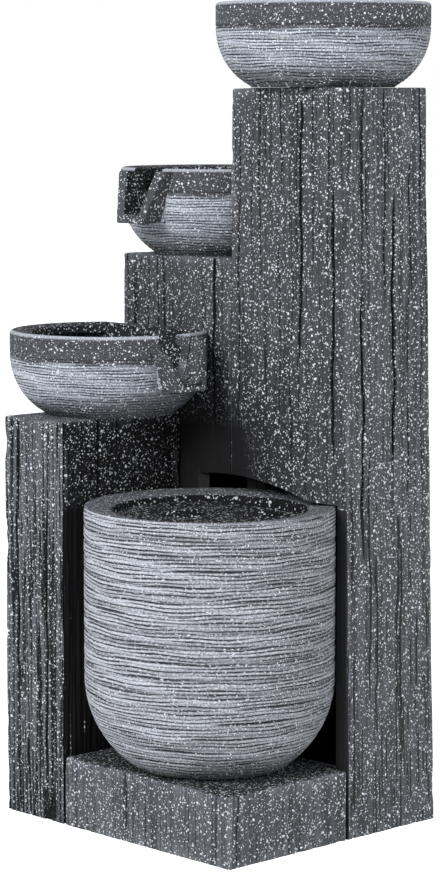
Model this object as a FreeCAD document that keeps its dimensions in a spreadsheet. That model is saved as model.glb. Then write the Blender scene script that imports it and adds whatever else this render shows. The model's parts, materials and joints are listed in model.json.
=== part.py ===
"""Three-column floor fountain: cast column shells, spouted bowls, a ribbed pot and a pump inside it.

The plan is measured from the front corner of the base: x runs along the right-hand front face,
y along the left-hand front face and z up. Every finished piece is then moved so that the origin
lies on the floor under the middle of the base.
"""
import FreeCAD, Part
import Sketcher
import math
import os
import re

SIZES = {
    # Castings
    "base_length": 352,
    "base_depth": 402,
    "plinth_length": 198,
    "plinth_depth": 294,
    "plinth_height": 85,
    "tall_depth": 205,
    "tall_height": 898,
    "tall_lean_front": 14,
    "tall_lean_side": 10,
    "middle_height": 690,
    "short_height": 496,
    "shell_wall": 10,
    "seam": 0.6,
    "groove": 3,
    "crack_width": 3,
    "crack_depth": 4,
    "crack_inset": 30,
    "crack_spacing": 54,
    "crack_level": 60,
    "crack_length": 330,
    "crack_stagger": 110,
    # Base plate and its screws
    "plate_thickness": 8,
    "plate_gap": 0.6,
    "lug_size": 26,
    "lug_height": 38,
    "screw_radius": 2.5,
    "screw_head_radius": 5,
    "screw_head_height": 3,
    "screw_grip": 20,
    "thread_gap": 0.05,
    "hole_gap": 0.4,
    "fit_gap": 0.2,
    "overrun": 1,
    # Hexagon fasteners
    "tie_radius": 3,
    "tie_head_radius": 5.8,
    "tie_head_height": 4,
    "tie_nut_height": 5,
    "tie_spare": 3,
    "tie_spacing": 60,
    "tie_tall_level": 560,
    "tie_low_level": 120,
    "tie_high_level": 430,
    "bolt_radius": 4,
    "bolt_head_radius": 7.5,
    "bolt_head_height": 5.3,
    "bolt_nut_height": 6.5,
    "bolt_spare": 4,
    "washer_radius": 10,
    "washer_thickness": 2,
    # Bowls
    "top_bowl_x": 265,
    "top_bowl_y": 113,
    "top_bowl_radius": 130,
    "top_bowl_height": 100,
    "middle_bowl_x": 284,
    "middle_bowl_y": 313,
    "middle_bowl_radius": 126,
    "middle_bowl_height": 107,
    "lower_bowl_x": 122,
    "lower_bowl_y": 343,
    "lower_bowl_radius": 124,
    "lower_bowl_height": 102,
    "bowl_undercut": 42,
    "bowl_band": 30,
    "bowl_rim": 26,
    "bowl_rim_fall": 3,
    "bowl_edge": 4,
    "bowl_lip": 12,
    "bowl_wall": 14,
    "bowl_floor": 14,
    "gasket_radius": 40,
    "gasket_thickness": 2,
    # Spouts
    "spout_height": 68,
    "spout_floor": 12,
    "spout_reach_top": 10,
    "spout_reach_foot": 31,
    "top_spout_reach_foot": 20,
    "spout_width_top": 84,
    "spout_width_foot": 48,
    "spout_cheek_top": 15,
    "spout_cheek_foot": 11,
    # Pot and its cover
    "pot_x": 104,
    "pot_side_gap": 0.5,
    "pot_radius": 151.5,
    "pot_height": 315,
    "pot_undercut": 59.5,
    "pot_shoulder": 205,
    "pot_rim": 34,
    "pot_rim_fall": 5,
    "pot_edge": 3,
    "pot_lip": 30,
    "pot_wall": 14,
    "pot_floor": 14,
    "pot_gap": 1.5,
    "pot_pad_radius": 70,
    "pot_pad_thickness": 2,
    "arch_rise": 22,
    "arch_half_width": 137,
    "rib_start": 24,
    "rib_pitch": 18,
    "rib_depth": 2,
    "rib_width": 6,
    "cover_drop": 12,
    "cover_thickness": 6,
    "cover_gap": 3.5,
    "cover_cut": 10,
    "ledge_reach": 14,
    "ledge_width": 24,
    "ledge_thickness": 10,
    "back_mound": 22.5,
    "front_mound": 44.5,
    "mound_radius": 28,
    "mound_top_radius": 9,
    "mound_height": 6,
    "mound_ridge": 1.6,
    "drain_radius": 4,
    "drain_ring": 96,
    # Water line
    "hose_wall": 2,
    "hose_top_bend": 260,
    "hose_drop": 67,
    "hose_lead": 8,
    "hose_wall_gap": 20,
    "hose_joint": 22,
    "hose_fit": 0.05,
    "hose_stop": 2,
    "clamp_inset": 6,
    "barb_radius": 6.4,
    "barb_fit": 0.1,
    "barb_bore": 4.5,
    "inlet_radius": 9,
    "inlet_flange": 15,
    "inlet_flange_height": 4,
    "inlet_stand": 22,
    "inlet_nut_radius": 15,
    "inlet_nut_height": 8,
    "inlet_barb": 36,
    "grommet_radius": 11,
    "grommet_flange": 14,
    "grommet_lip": 2,
    "clamp_wall": 1.6,
    "clamp_width": 9,
    # Pump
    "pump_offset": 36,
    "pump_length": 60,
    "pump_half_width": 26,
    "pump_below": 24,
    "pump_above": 30,
    "pump_wall": 3,
    "cup_height": 6,
    "cup_radius": 8,
    "cup_neck": 5,
    "cup_start": 9,
    "cup_spacing": 33,
    "can_radius": 12,
    "can_bore": 10.5,
    "can_depth": 37,
    "magnet_radius": 9.5,
    "magnet_start": 6,
    "magnet_length": 28,
    "shaft_radius": 1.5,
    "running_gap": 0.05,
    "bush_radius": 3,
    "bush_length": 1.8,
    "impeller_radius": 14,
    "impeller_hub": 5,
    "blade_length": 7,
    "blade_thickness": 1.6,
    "volute_depth": 16,
    "volute_bore": 16,
    "volute_wall": 3,
    "volute_half_width": 24,
    "volute_screw_reach": 17.5,
    "outlet_offset": 9,
    "outlet_setback": 7,
    "outlet_top": 58,
    "inlet_eye": 8,
    "ring_radius": 18.5,
    "ring_section": 0.9,
    "ring_room": 1.2,
    "strainer_depth": 26,
    "strainer_wall": 2.5,
    "strainer_gap": 0.3,
    "slot_width": 3,
    "dial_radius": 13,
    "dial_thickness": 4,
    "dial_stem": 3,
    "port_ring": 7.5,
    "core_width": 18,
    "core_top": 23,
    "core_gap_top": 17,
    "core_start": 8,
    "core_length": 26,
    "coil_half_width": 11,
    "coil_build": 3.4,
    # Rear hatch
    "door_side": 24,
    "door_z": 60,
    "door_height": 150,
    "door_thickness": 6,
    "door_gap": 1,
    "door_back_gap": 0.5,
    "door_lip": 10,
    "pin_radius": 1.5,
    "pin_half": 8,
    "latch_inset": 22,
    "latch_radius": 11,
    "latch_height": 6,
    "latch_spindle": 4,
    "grip_width": 4,
    "grip_height": 5,
    "cam_bore": 3,
    "cam_length": 20,
    "cam_width": 8,
    "cam_thickness": 3.5,
    "gland_radius": 7,
    "gland_flange": 10,
    "gland_bore": 3.5,
    "gland_level": 32,
}

WORD = re.compile(r"[a-z_][a-z_0-9]*")
TURNS = {
    "x": FreeCAD.Rotation(FreeCAD.Vector(0, 1, 0), 90),
    "y": FreeCAD.Rotation(FreeCAD.Vector(1, 0, 0), -90),
    "z": FreeCAD.Rotation(),
}
UPRIGHT = FreeCAD.Rotation(FreeCAD.Vector(1, 0, 0), 90)
PUMP_TURN = FreeCAD.Rotation(FreeCAD.Vector(0, 0, 1), 90)
BLADE_COUNT = 6
SLOT_COUNT = 7

doc = FreeCAD.newDocument("floor_fountain")
sheet = doc.addObject("Spreadsheet::Sheet", "Sizes")
finished = []
spots = {}


def fill_sheet():
    for row, (alias, number) in enumerate(SIZES.items(), start=1):
        sheet.set(f"A{row}", alias)
        sheet.set(f"B{row}", str(number))
        sheet.setAlias(f"B{row}", alias)
    doc.recompute()


def formula(text):
    """The text with each size's name pointing at its cell."""
    return WORD.sub(lambda word: f"Sizes.{word[0]}" if word[0] in SIZES else word[0], str(text))


def value(text):
    """The number that a formula has now."""
    return float(sheet.evalExpression(formula(text)))


def bind(obj, **formulas):
    for name, text in formulas.items():
        obj.setExpression(name, formula(text))
    return obj


def place(obj, spot, turn=None):
    if turn is not None:
        obj.Placement = FreeCAD.Placement(FreeCAD.Vector(), turn)
    for axis, text in zip("xyz", spot):
        obj.setExpression(f"Placement.Base.{axis}", formula(text))
    spots[obj.Name] = spot
    return obj


def box(name, corner, size):
    block = doc.addObject("Part::Box", name)
    bind(block, Length=size[0], Width=size[1], Height=size[2])
    return place(block, corner)


def span(name, low, high):
    """A box between two corners."""
    size = [f"({top}) - ({bottom})" for bottom, top in zip(low, high)]
    return box(name, low, size)


def rod(name, radius, length, spot, along="z"):
    bar = doc.addObject("Part::Cylinder", name)
    bind(bar, Radius=radius, Height=length)
    return place(bar, spot, TURNS[along])


def cone(name, low_radius, high_radius, height, spot, along="z"):
    frustum = doc.addObject("Part::Cone", name)
    bind(frustum, Radius1=low_radius, Radius2=high_radius, Height=height)
    return place(frustum, spot, TURNS[along])


def hexagon(name, radius, height, spot, along="z"):
    prism = doc.addObject("Part::Prism", name)
    prism.Polygon = 6
    bind(prism, Circumradius=radius, Height=height)
    return place(prism, spot, TURNS[along])


def torus(name, radius, section, spot, along="z"):
    ring_body = doc.addObject("Part::Torus", name)
    bind(ring_body, Radius1=radius, Radius2=section)
    return place(ring_body, spot, TURNS[along])


def fuse(name, *solids):
    union = doc.addObject("Part::MultiFuse", name)
    union.Shapes = list(solids)
    return union


def cut(name, base, *tools):
    tool = tools[0] if len(tools) == 1 else fuse(f"{name}_tools", *tools)
    result = doc.addObject("Part::Cut", name)
    result.Base = base
    result.Tool = tool
    return result


def common(name, base, tool):
    result = doc.addObject("Part::Common", name)
    result.Base = base
    result.Tool = tool
    return result


def group(name, *solids):
    bundle = doc.addObject("Part::Compound", name)
    bundle.Links = list(solids)
    return bundle


def ring(name, radius, bore, length, spot, along="z"):
    return cut(name, rod(f"{name}_outer", radius, length, spot, along),
               rod(f"{name}_bore", bore, length, spot, along))


def finish(obj, label):
    """Names a piece and moves it so that the middle of the base is the origin."""
    obj.Label = label
    spot = spots.get(obj.Name, ("0", "0", "0"))
    place(obj, (f"{spot[0]} - base_length / 2", f"{spot[1]} - base_depth / 2", spot[2]))
    finished.append(obj)
    return obj


def lathe(name, corners, arcs):
    """A turned solid: straight runs between the corners, and arcs that end upright at the next corner."""
    body = doc.addObject("PartDesign::Body", name)
    plane = next(item for item in body.Origin.OriginFeatures if item.Role == "XZ_Plane")
    sketch = body.newObject("Sketcher::SketchObject", f"{name}_profile")
    sketch.AttachmentSupport = [(plane, "")]
    sketch.MapMode = "FlatFace"
    points = [FreeCAD.Vector(value(x), value(y), 0) for x, y in corners]
    count = len(corners)
    for index, start in enumerate(points):
        end = points[(index + 1) % count]
        if index in arcs:
            across = end.x - start.x
            rise = end.y - start.y
            radius = (across ** 2 + rise ** 2) / (2 * across)
            centre = FreeCAD.Vector(end.x - radius, end.y, 0)
            circle = Part.Circle(centre, FreeCAD.Vector(0, 0, 1), radius)
            first = math.atan2(start.y - centre.y, start.x - centre.x)
            sketch.addGeometry(Part.ArcOfCircle(circle, first, 0))
        else:
            sketch.addGeometry(Part.LineSegment(start, end))
    for index in range(count):
        sketch.addConstraint(Sketcher.Constraint("Coincident", index, 2, (index + 1) % count, 1))
    for index, corner in enumerate(corners):
        fix_point(sketch, index, 1, corner)
    for index in arcs:
        level = corners[(index + 1) % count][1]
        number = sketch.addConstraint(
            Sketcher.Constraint("DistanceY", -1, 1, index, 3, value(level)))
        sketch.setExpression(f"Constraints[{number}]", formula(level))
    turn = body.newObject("PartDesign::Revolution", f"{name}_turn")
    turn.Profile = sketch
    turn.ReferenceAxis = (sketch, ["V_Axis"])
    turn.Angle = 360
    return body


def fix_point(sketch, index, end, corner):
    for kind, axis, text in (("DistanceX", -2, corner[0]), ("DistanceY", -1, corner[1])):
        if text == "0":
            sketch.addConstraint(Sketcher.Constraint("PointOnObject", index, end, axis))
        else:
            number = sketch.addConstraint(
                Sketcher.Constraint(kind, -1, 1, index, end, value(text)))
            sketch.setExpression(f"Constraints[{number}]", formula(text))


# Cast shells on their base plate

LUG_INSET = "(shell_wall + lug_size / 2)"
LUGS = {
    "plinth": ((LUG_INSET, LUG_INSET),
               (f"plinth_length - groove - {LUG_INSET}", f"plinth_depth - groove - {LUG_INSET}")),
    "tall": ((f"base_length - {LUG_INSET}", LUG_INSET),
             (f"plinth_length + {LUG_INSET}", f"tall_depth - seam - {LUG_INSET}")),
    "middle": ((f"plinth_length + {LUG_INSET}", f"tall_depth + {LUG_INSET}"),
               (f"base_length - {LUG_INSET}", f"base_depth - {LUG_INSET}")),
    "short": ((LUG_INSET, f"base_depth - {LUG_INSET}"),
              (f"plinth_length - seam - {LUG_INSET}", f"plinth_depth + {LUG_INSET}")),
}
SCREW_SPOTS = [spot for pair in LUGS.values() for spot in pair]
POT_Y = "(plinth_depth - pot_side_gap - pot_radius)"
POT_FLOOR_LEVEL = "(plinth_height + pot_pad_thickness + pot_floor)"
POT_RIM_LEVEL = "(plinth_height + pot_pad_thickness + pot_height)"
POT_ROOM = "(pot_radius + pot_gap)"
ARCH_RADIUS = "((arch_half_width ^ 2 + arch_rise ^ 2) / (2 * arch_rise))"
TIE_GRIP = "(2 * shell_wall + seam)"


def plate_room():
    """The space that the base plate takes out of the feet of the inner walls."""
    inset = "(shell_wall + plate_gap / 2)"
    return span("plate_room", (inset, inset, "-plate_thickness"),
                (f"base_length - {inset}", f"base_depth - {inset}", "plate_thickness"))


def base_plate():
    inset = "(shell_wall + plate_gap)"
    plate = span("plate_blank", (inset, inset, "0"),
                 (f"base_length - {inset}", f"base_depth - {inset}", "plate_thickness"))
    holes = []
    for number, (x, y) in enumerate(SCREW_SPOTS):
        holes.append(rod(f"plate_hole_{number}", "screw_radius + hole_gap", "plate_thickness", (x, y, "0")))
        holes.append(cone(f"plate_sink_{number}", "screw_head_radius + hole_gap", "screw_radius + hole_gap",
                          "screw_head_height", (x, y, "0")))
    finish(cut("plate", plate, *holes), "base_plate")


def base_screws():
    screws = []
    for number, (x, y) in enumerate(SCREW_SPOTS):
        shank = rod(f"screw_shank_{number}", "screw_radius", "plate_thickness + screw_grip", (x, y, "0"))
        head = cone(f"screw_head_{number}", "screw_head_radius", "screw_radius", "screw_head_height",
                    (x, y, "0"))
        screws.append(fuse(f"screw_{number}", shank, head))
    finish(group("screws", *screws), "base_screws")


def lug_blocks(name):
    half = "lug_size / 2"
    return [span(f"{name}_lug_{number}", (f"{x} - {half}", f"{y} - {half}", "0"),
                 (f"{x} + {half}", f"{y} + {half}", "lug_height"))
            for number, (x, y) in enumerate(LUGS[name])]


def thread_holes(name):
    depth = "plate_thickness + screw_grip + overrun"
    return [rod(f"{name}_thread_{number}", "screw_radius + thread_gap", depth, (x, y, "0"))
            for number, (x, y) in enumerate(LUGS[name])]


def shell(name, outer, hollow, tools):
    """A cast shell, open below, with two lugs for the base screws."""
    walls = cut(f"{name}_walls", outer, hollow)
    blank = fuse(f"{name}_blank", walls, *lug_blocks(name))
    return cut(f"{name}_shell", blank, *thread_holes(name), *tools)


def straight_shell(name, low, high, height, tools):
    outer = span(f"{name}_outer", (*low, "0"), (*high, height))
    hollow = span(f"{name}_hollow", (f"{low[0]} + shell_wall", f"{low[1]} + shell_wall", "-shell_wall"),
                  (f"{high[0]} - shell_wall", f"{high[1]} - shell_wall", f"{height} - shell_wall"))
    return shell(name, outer, hollow, tools)


def leaning_block(name, inset, height):
    """The tall column's block: its two outer faces lean in towards the top."""
    block = doc.addObject("Part::Wedge", name)
    bind(block, Xmin=f"plinth_length + {inset}", X2min=f"plinth_length + {inset}",
         Xmax=f"base_length - {inset}", X2max=f"base_length - tall_lean_side - {inset}",
         Ymin="0", Ymax=height,
         Zmin=f"-(tall_depth - seam - {inset})", Z2min=f"-(tall_depth - seam - {inset})",
         Zmax=f"-({inset})", Z2max=f"-(tall_lean_front + {inset})")
    return place(block, ("0", "0", "0"), UPRIGHT)


def pot_pocket():
    """Room for the back of the pot, with an arch over its mouth that is highest where the columns meet."""
    spot = ("pot_x", POT_Y, "plinth_height")
    room = rod("pot_room", POT_ROOM, "pot_height + pot_pad_thickness + pot_gap", spot)
    above = rod("arch_room", POT_ROOM, "pot_height + pot_pad_thickness + arch_rise", spot)
    arch = rod("pot_arch", ARCH_RADIUS, "base_length",
               ("0", "tall_depth", f"{POT_RIM_LEVEL} + arch_rise - {ARCH_RADIUS}"), "x")
    return fuse("pot_pocket", room, common("arch_opening", above, arch))


def cracks(name, axis, plane, inward, edge, count, level, lean="0"):
    """Upright slots in the skin of a face: axis is its normal, and edge is where the spacing starts."""
    slots = []
    for number in range(count):
        across = f"{edge} + crack_inset + {number} * crack_spacing"
        foot = f"{level} + {number} * crack_stagger"
        widths = (f"{across} - crack_width / 2", f"{across} + crack_width / 2")
        depths = (f"{plane} - overrun", f"{plane} + {lean} + crack_depth")
        if not inward:
            depths = (f"{plane} - {lean} - crack_depth", f"{plane} + overrun")
        x, y = (depths, widths) if axis == "x" else (widths, depths)
        top = f"{foot} + crack_length"
        slots.append(span(f"{name}_{number}", (x[0], y[0], foot), (x[1], y[1], top)))
    return slots


def tall_cracks():
    """The tall column's cracks, which follow its leaning faces."""
    above_pot = f"{POT_RIM_LEVEL} + arch_rise + crack_inset"
    slots = [*cracks("tall_front_crack", "y", "0", True, "plinth_length", 2, "3 * crack_stagger",
                     "tall_lean_front"),
             *cracks("tall_side_crack", "x", "base_length", False, "0", 3, "2 * crack_stagger",
                     "tall_lean_side"),
             *cracks("tall_left_crack", "x", "plinth_length", True, "0", 2, above_pot)]
    return cut("tall_crack_skin", fuse("tall_crack_slots", *slots),
               leaning_block("tall_crack_core", "crack_depth", "tall_height"))


def middle_cracks():
    above_pot = f"{POT_RIM_LEVEL} + arch_rise + crack_inset"
    above_door = "door_z + door_height + crack_inset"
    return [*cracks("middle_left_crack", "x", "plinth_length", True, "tall_depth", 1, above_pot),
            *cracks("middle_side_crack", "x", "base_length", False, "tall_depth", 3, "crack_level"),
            *cracks("middle_back_crack", "y", "base_depth", False, "plinth_length", 2, above_door)]


def short_cracks():
    return [*cracks("short_left_crack", "x", "0", True, "plinth_depth", 2, "crack_level"),
            *cracks("short_back_crack", "y", "base_depth", False, "0", 3, "crack_level")]


def tie_places():
    """The bolts between neighbouring columns: name, axis, and the middle of the joint."""
    middle = "(plinth_length + base_length) / 2"
    back = "(plinth_depth + base_depth) / 2"
    return (
        ("tall_left", "y", (f"{middle} - tie_spacing / 2", "tall_depth - seam / 2", "tie_tall_level")),
        ("tall_right", "y", (f"{middle} + tie_spacing / 2", "tall_depth - seam / 2", "tie_tall_level")),
        ("short_low", "x", ("plinth_length - seam / 2", back, "tie_low_level")),
        ("short_high", "x", ("plinth_length - seam / 2", back, "tie_high_level")),
    )


def along(spot, axis, distance):
    """A spot moved along one axis."""
    moved = list(spot)
    index = "xyz".index(axis)
    moved[index] = f"{moved[index]} + ({distance})"
    return tuple(moved)


def tie_holes(prefix, wanted):
    return [rod(f"{prefix}_{name}", "tie_radius + hole_gap", f"{TIE_GRIP} + 2 * overrun",
                along(spot, axis, f"-{TIE_GRIP} / 2 - overrun"), axis)
            for name, axis, spot in tie_places() if name.startswith(wanted)]


def ties():
    bolts = []
    nuts = []
    for name, axis, spot in tie_places():
        start = along(spot, axis, f"-{TIE_GRIP} / 2")
        head = hexagon(f"tie_head_{name}", "tie_head_radius", "tie_head_height",
                       along(start, axis, "-tie_head_height"), axis)
        reach = f"{TIE_GRIP} + tie_nut_height + tie_spare"
        shank = rod(f"tie_shank_{name}", "tie_radius", reach, start, axis)
        bolts.append(fuse(f"tie_bolt_{name}", head, shank))
        seat = along(start, axis, TIE_GRIP)
        nuts.append(cut(f"tie_nut_{name}", hexagon(f"tie_hex_{name}", "tie_head_radius", "tie_nut_height",
                                                   seat, axis),
                        rod(f"tie_bore_{name}", "tie_radius + thread_gap", "tie_nut_height", seat, axis)))
    finish(group("tie_bolt_set", *bolts), "tie_bolts")
    finish(group("tie_nut_set", *nuts), "tie_nuts")


def columns():
    room = plate_room()
    pocket = pot_pocket()
    finish(straight_shell("plinth", ("0", "0"), ("plinth_length - groove", "plinth_depth - groove"),
                          "plinth_height", [room]), "plinth_block")
    tall_top_hole = rod("tall_top_hole", "inlet_radius + hole_gap", "2 * shell_wall",
                        ("top_bowl_x", "top_bowl_y", "tall_height - 1.5 * shell_wall"))
    finish(shell("tall", leaning_block("tall_outer", "0", "tall_height"),
                 leaning_block("tall_hollow", "shell_wall", "tall_height - shell_wall"),
                 [room, pocket, tall_top_hole, tall_cracks(), *tie_holes("tall_hole", "tall")]),
           "tall_column")
    middle_top_hole = rod("middle_top_hole", "bolt_radius + hole_gap", "2 * shell_wall",
                          ("middle_bowl_x", "middle_bowl_y", "middle_height - 1.5 * shell_wall"))
    finish(straight_shell("middle", ("plinth_length", "tall_depth"), ("base_length", "base_depth"),
                          "middle_height",
                          [room, pocket, middle_top_hole, *hatch_cuts(), *middle_cracks(),
                           *tie_holes("middle_hole", "tall"), *tie_holes("middle_side_hole", "short")]),
           "middle_column")
    short_top_hole = rod("short_top_hole", "bolt_radius + hole_gap", "2 * shell_wall",
                         ("lower_bowl_x", "lower_bowl_y", "short_height - 1.5 * shell_wall"))
    finish(straight_shell("short", ("0", "plinth_depth"), ("plinth_length - seam", "base_depth"),
                          "short_height",
                          [room, short_top_hole, *short_cracks(), *tie_holes("short_hole", "short")]),
           "short_column")


# Bowls with their spouts

BOWLS = {
    "top": ("tall_height", 90),
    "middle": ("middle_height", 180),
    "lower": ("short_height", -90),
}


def vessel_outer(name, radius, height, undercut, shoulder, edge):
    foot = f"{radius} - {undercut}"
    return lathe(name, (("0", "0"), (foot, "0"), (radius, shoulder), (radius, f"{height} - {edge}"),
                        (f"{radius} - {edge}", height), ("0", height)), {1})


def vessel_hollow(name, radius, height, undercut, shoulder, edge, floor, wall, rim, fall, lip):
    foot = f"{radius} - {undercut} - {wall} / 2"
    inner = f"{radius} - {wall}"
    mouth = f"{radius} - {rim}"
    above = f"{height} + {edge}"
    return lathe(name, (("0", floor), (foot, floor), (inner, shoulder),
                        (inner, f"{height} - {lip} - ({rim} - {wall}) / 2"), (mouth, f"{height} - {lip}"),
                        (mouth, f"{height} - {fall}"), (f"{radius} - {edge}", height),
                        (f"{radius} - {edge}", above), ("0", above)), {1})


def spout_block(name, prefix, angle, inner):
    """The spout's outer block, or the channel through it."""
    radius = f"{prefix}_bowl_radius"
    height = f"{prefix}_bowl_height"
    block = doc.addObject("Part::Wedge", name)
    if inner:
        low = f"{height} - spout_height + spout_floor"
        foot = "(spout_width_foot / 2 - spout_cheek_foot)"
        top = "(spout_width_top / 2 - spout_cheek_top)"
        reach = f"{radius} + 2 * spout_reach_foot"
        start = f"{radius} - 2 * bowl_rim"
        bind(block, Xmin=start, X2min=start, Xmax=reach, X2max=reach)
    else:
        low = f"{height} - spout_height"
        foot = "spout_width_foot / 2"
        top = "spout_width_top / 2"
        start = f"{radius} - bowl_rim + bowl_edge"
        foot_reach = "top_spout_reach_foot" if prefix == "top" else "spout_reach_foot"
        bind(block, Xmin=start, X2min=start, Xmax=f"{radius} + {foot_reach}",
             X2max=f"{radius} + spout_reach_top")
    bind(block, Ymin=low, Ymax=f"{height} - bowl_rim_fall + {int(inner)} * (bowl_rim_fall + bowl_edge)",
         Zmin=f"-{foot}", Zmax=foot, Z2min=f"-{top}", Z2max=top)
    turn = FreeCAD.Rotation(FreeCAD.Vector(0, 0, 1), angle).multiply(UPRIGHT)
    return place(block, bowl_spot(prefix), turn)


def bowl_spot(prefix):
    return (f"{prefix}_bowl_x", f"{prefix}_bowl_y", f"{BOWLS[prefix][0]} + gasket_thickness")


def half_space(name, prefix, inset):
    """The room on the open side of the wall that a bowl stands against."""
    x, y, z = bowl_spot(prefix)
    reach = f"2 * {prefix}_bowl_radius"
    low = [f"{x} - {reach}", f"{y} - {reach}", f"{z} - bowl_floor"]
    high = [f"{x} + {reach}", f"{y} + {reach}", f"{z} + 2 * {prefix}_bowl_height"]
    if prefix == "middle":
        low[1] = f"tall_depth + seam + {inset}"
    else:
        high[0] = f"plinth_length - seam - {inset}"
    return span(name, low, high)


def bowl(prefix):
    radius = f"{prefix}_bowl_radius"
    height = f"{prefix}_bowl_height"
    shoulder = f"{height} - bowl_band"
    angle = BOWLS[prefix][1]
    spot = bowl_spot(prefix)
    outer = place(vessel_outer(f"{prefix}_outside", radius, height, "bowl_undercut", shoulder,
                               "bowl_edge"), spot)
    hollow = place(vessel_hollow(f"{prefix}_inside", radius, height, "bowl_undercut", shoulder, "bowl_edge",
                                 "bowl_floor", "bowl_wall", "bowl_rim", "bowl_rim_fall", "bowl_lip"), spot)
    blank = fuse(f"{prefix}_blank", outer, spout_block(f"{prefix}_spout", prefix, angle, False))
    if prefix != "top":
        blank = common(f"{prefix}_flat", blank, half_space(f"{prefix}_room", prefix, "0"))
        hollow = common(f"{prefix}_flat_inside", hollow,
                        half_space(f"{prefix}_inner_room", prefix, "bowl_wall"))
    bore = "inlet_radius + hole_gap" if prefix == "top" else "bolt_radius + hole_gap"
    hole = rod(f"{prefix}_drilling", bore, "2 * bowl_floor", along(spot, "z", "-bowl_floor / 2"))
    channel = spout_block(f"{prefix}_channel", prefix, angle, True)
    finish(cut(f"{prefix}_casting", blank, hollow, channel, hole), f"{prefix}_bowl")


def bowl_fixings():
    gaskets = []
    bolts = []
    washers = []
    nuts = []
    for prefix, (level, _) in BOWLS.items():
        x, y, _ = bowl_spot(prefix)
        gaskets.append(ring(f"{prefix}_gasket", "gasket_radius", "inlet_radius + overrun",
                            "gasket_thickness", (x, y, level)))
        if prefix == "top":
            continue
        floor = f"{level} + gasket_thickness + bowl_floor"
        under = f"{level} - shell_wall"
        washers.append(ring(f"{prefix}_washer", "washer_radius", "bolt_radius + thread_gap",
                            "washer_thickness", (x, y, floor)))
        head = hexagon(f"{prefix}_bolt_head", "bolt_head_radius", "bolt_head_height",
                       (x, y, f"{floor} + washer_thickness"))
        foot = f"{under} - bolt_nut_height - bolt_spare"
        reach = f"{floor} + washer_thickness - ({foot})"
        shank = rod(f"{prefix}_bolt_shank", "bolt_radius", reach, (x, y, foot))
        bolts.append(fuse(f"{prefix}_bolt", head, shank))
        seat = (x, y, f"{under} - bolt_nut_height")
        blank = hexagon(f"{prefix}_nut_hex", "bolt_head_radius", "bolt_nut_height", seat)
        nuts.append(cut(f"{prefix}_nut", blank,
                        rod(f"{prefix}_nut_bore", "bolt_radius + thread_gap", "bolt_nut_height", seat)))
    finish(group("gasket_set", *gaskets), "bowl_gaskets")
    finish(group("bolt_set", *bolts), "bowl_bolts")
    finish(group("washer_set", *washers), "bowl_seal_washers")
    finish(group("nut_set", *nuts), "bowl_nuts")


# Pot, pot cover and water line

LEDGE_ANGLES = (90, 180, 270)
COVER_LEVEL = f"({POT_RIM_LEVEL} - cover_drop)"
COVER_RADIUS = "(pot_radius - pot_rim - cover_gap)"
MOUNDS = (("pot_x - back_mound", f"{POT_Y} + back_mound"),
          ("pot_x + front_mound", f"{POT_Y} - front_mound"))
POT_INNER_X = "(pot_x + pot_radius - pot_wall)"
HOSE_RADIUS = "(barb_radius + barb_fit + hose_wall)"
HOSE_LEVEL = f"({POT_RIM_LEVEL} - hose_drop)"
GROMMET_SPOT = (POT_INNER_X, POT_Y, HOSE_LEVEL)


def pot_grooves(spot, shoulder):
    """V-shaped grooves turned into the pot's outside, which leave its ribs between them."""
    bend = f"((pot_undercut ^ 2 + {shoulder} ^ 2) / (2 * pot_undercut))"
    count = int(value("(pot_height - pot_edge - rib_width - rib_start) / rib_pitch")) + 1
    grooves = []
    for number in range(count):
        level = f"(rib_start + {number} * rib_pitch)"
        surface = f"(pot_radius - {bend} + sqrt({bend} ^ 2 - max(0; {shoulder} - {level}) ^ 2))"
        groove = lathe(f"pot_groove_{number}", ((f"{surface} + overrun", f"{level} - rib_width / 2"),
                                                (f"{surface} + overrun", f"{level} + rib_width / 2"),
                                                (f"{surface} - rib_depth", level)), {})
        grooves.append(place(groove, spot))
    return grooves


def pot():
    spot = ("pot_x", POT_Y, "plinth_height + pot_pad_thickness")
    shoulder = "(pot_height - pot_shoulder)"
    outer = place(vessel_outer("pot_outside", "pot_radius", "pot_height", "pot_undercut", shoulder,
                               "pot_edge"), spot)
    hollow = place(vessel_hollow("pot_inside", "pot_radius", "pot_height", "pot_undercut", shoulder,
                                 "pot_edge", "pot_floor", "pot_wall", "pot_rim", "pot_rim_fall", "pot_lip"),
                   spot)
    ledge_top = f"{COVER_LEVEL} - cover_thickness - strainer_gap"
    ledges = []
    for angle in LEDGE_ANGLES:
        ledge = doc.addObject("Part::Box", f"ledge_{angle}")
        bind(ledge, Length="pot_rim - pot_wall + ledge_reach", Width="ledge_width", Height="ledge_thickness")
        turn = FreeCAD.Rotation(FreeCAD.Vector(0, 0, 1), angle)
        inward = "(pot_radius - pot_rim - ledge_reach)"
        cosine = round(math.cos(math.radians(angle)))
        sine = round(math.sin(math.radians(angle)))
        place(ledge, (f"pot_x + {cosine} * {inward} + {sine} * ledge_width / 2",
                      f"{POT_Y} + {sine} * {inward} - {cosine} * ledge_width / 2",
                      f"{ledge_top} - ledge_thickness"), turn)
        ledges.append(ledge)
    walls = cut("pot_walls", outer, hollow)
    hole = rod("pot_hole", "grommet_radius", "3 * pot_wall", along(GROMMET_SPOT, "x", "-pot_wall"), "x")
    finish(cut("pot_casting", fuse("pot_blank", walls, *ledges), hole, *pot_grooves(spot, shoulder)),
           "reservoir_pot")
    finish(ring("pad", "pot_pad_radius", "pot_pad_radius / 2", "pot_pad_thickness",
                ("pot_x", POT_Y, "plinth_height")), "pot_pad")


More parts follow.
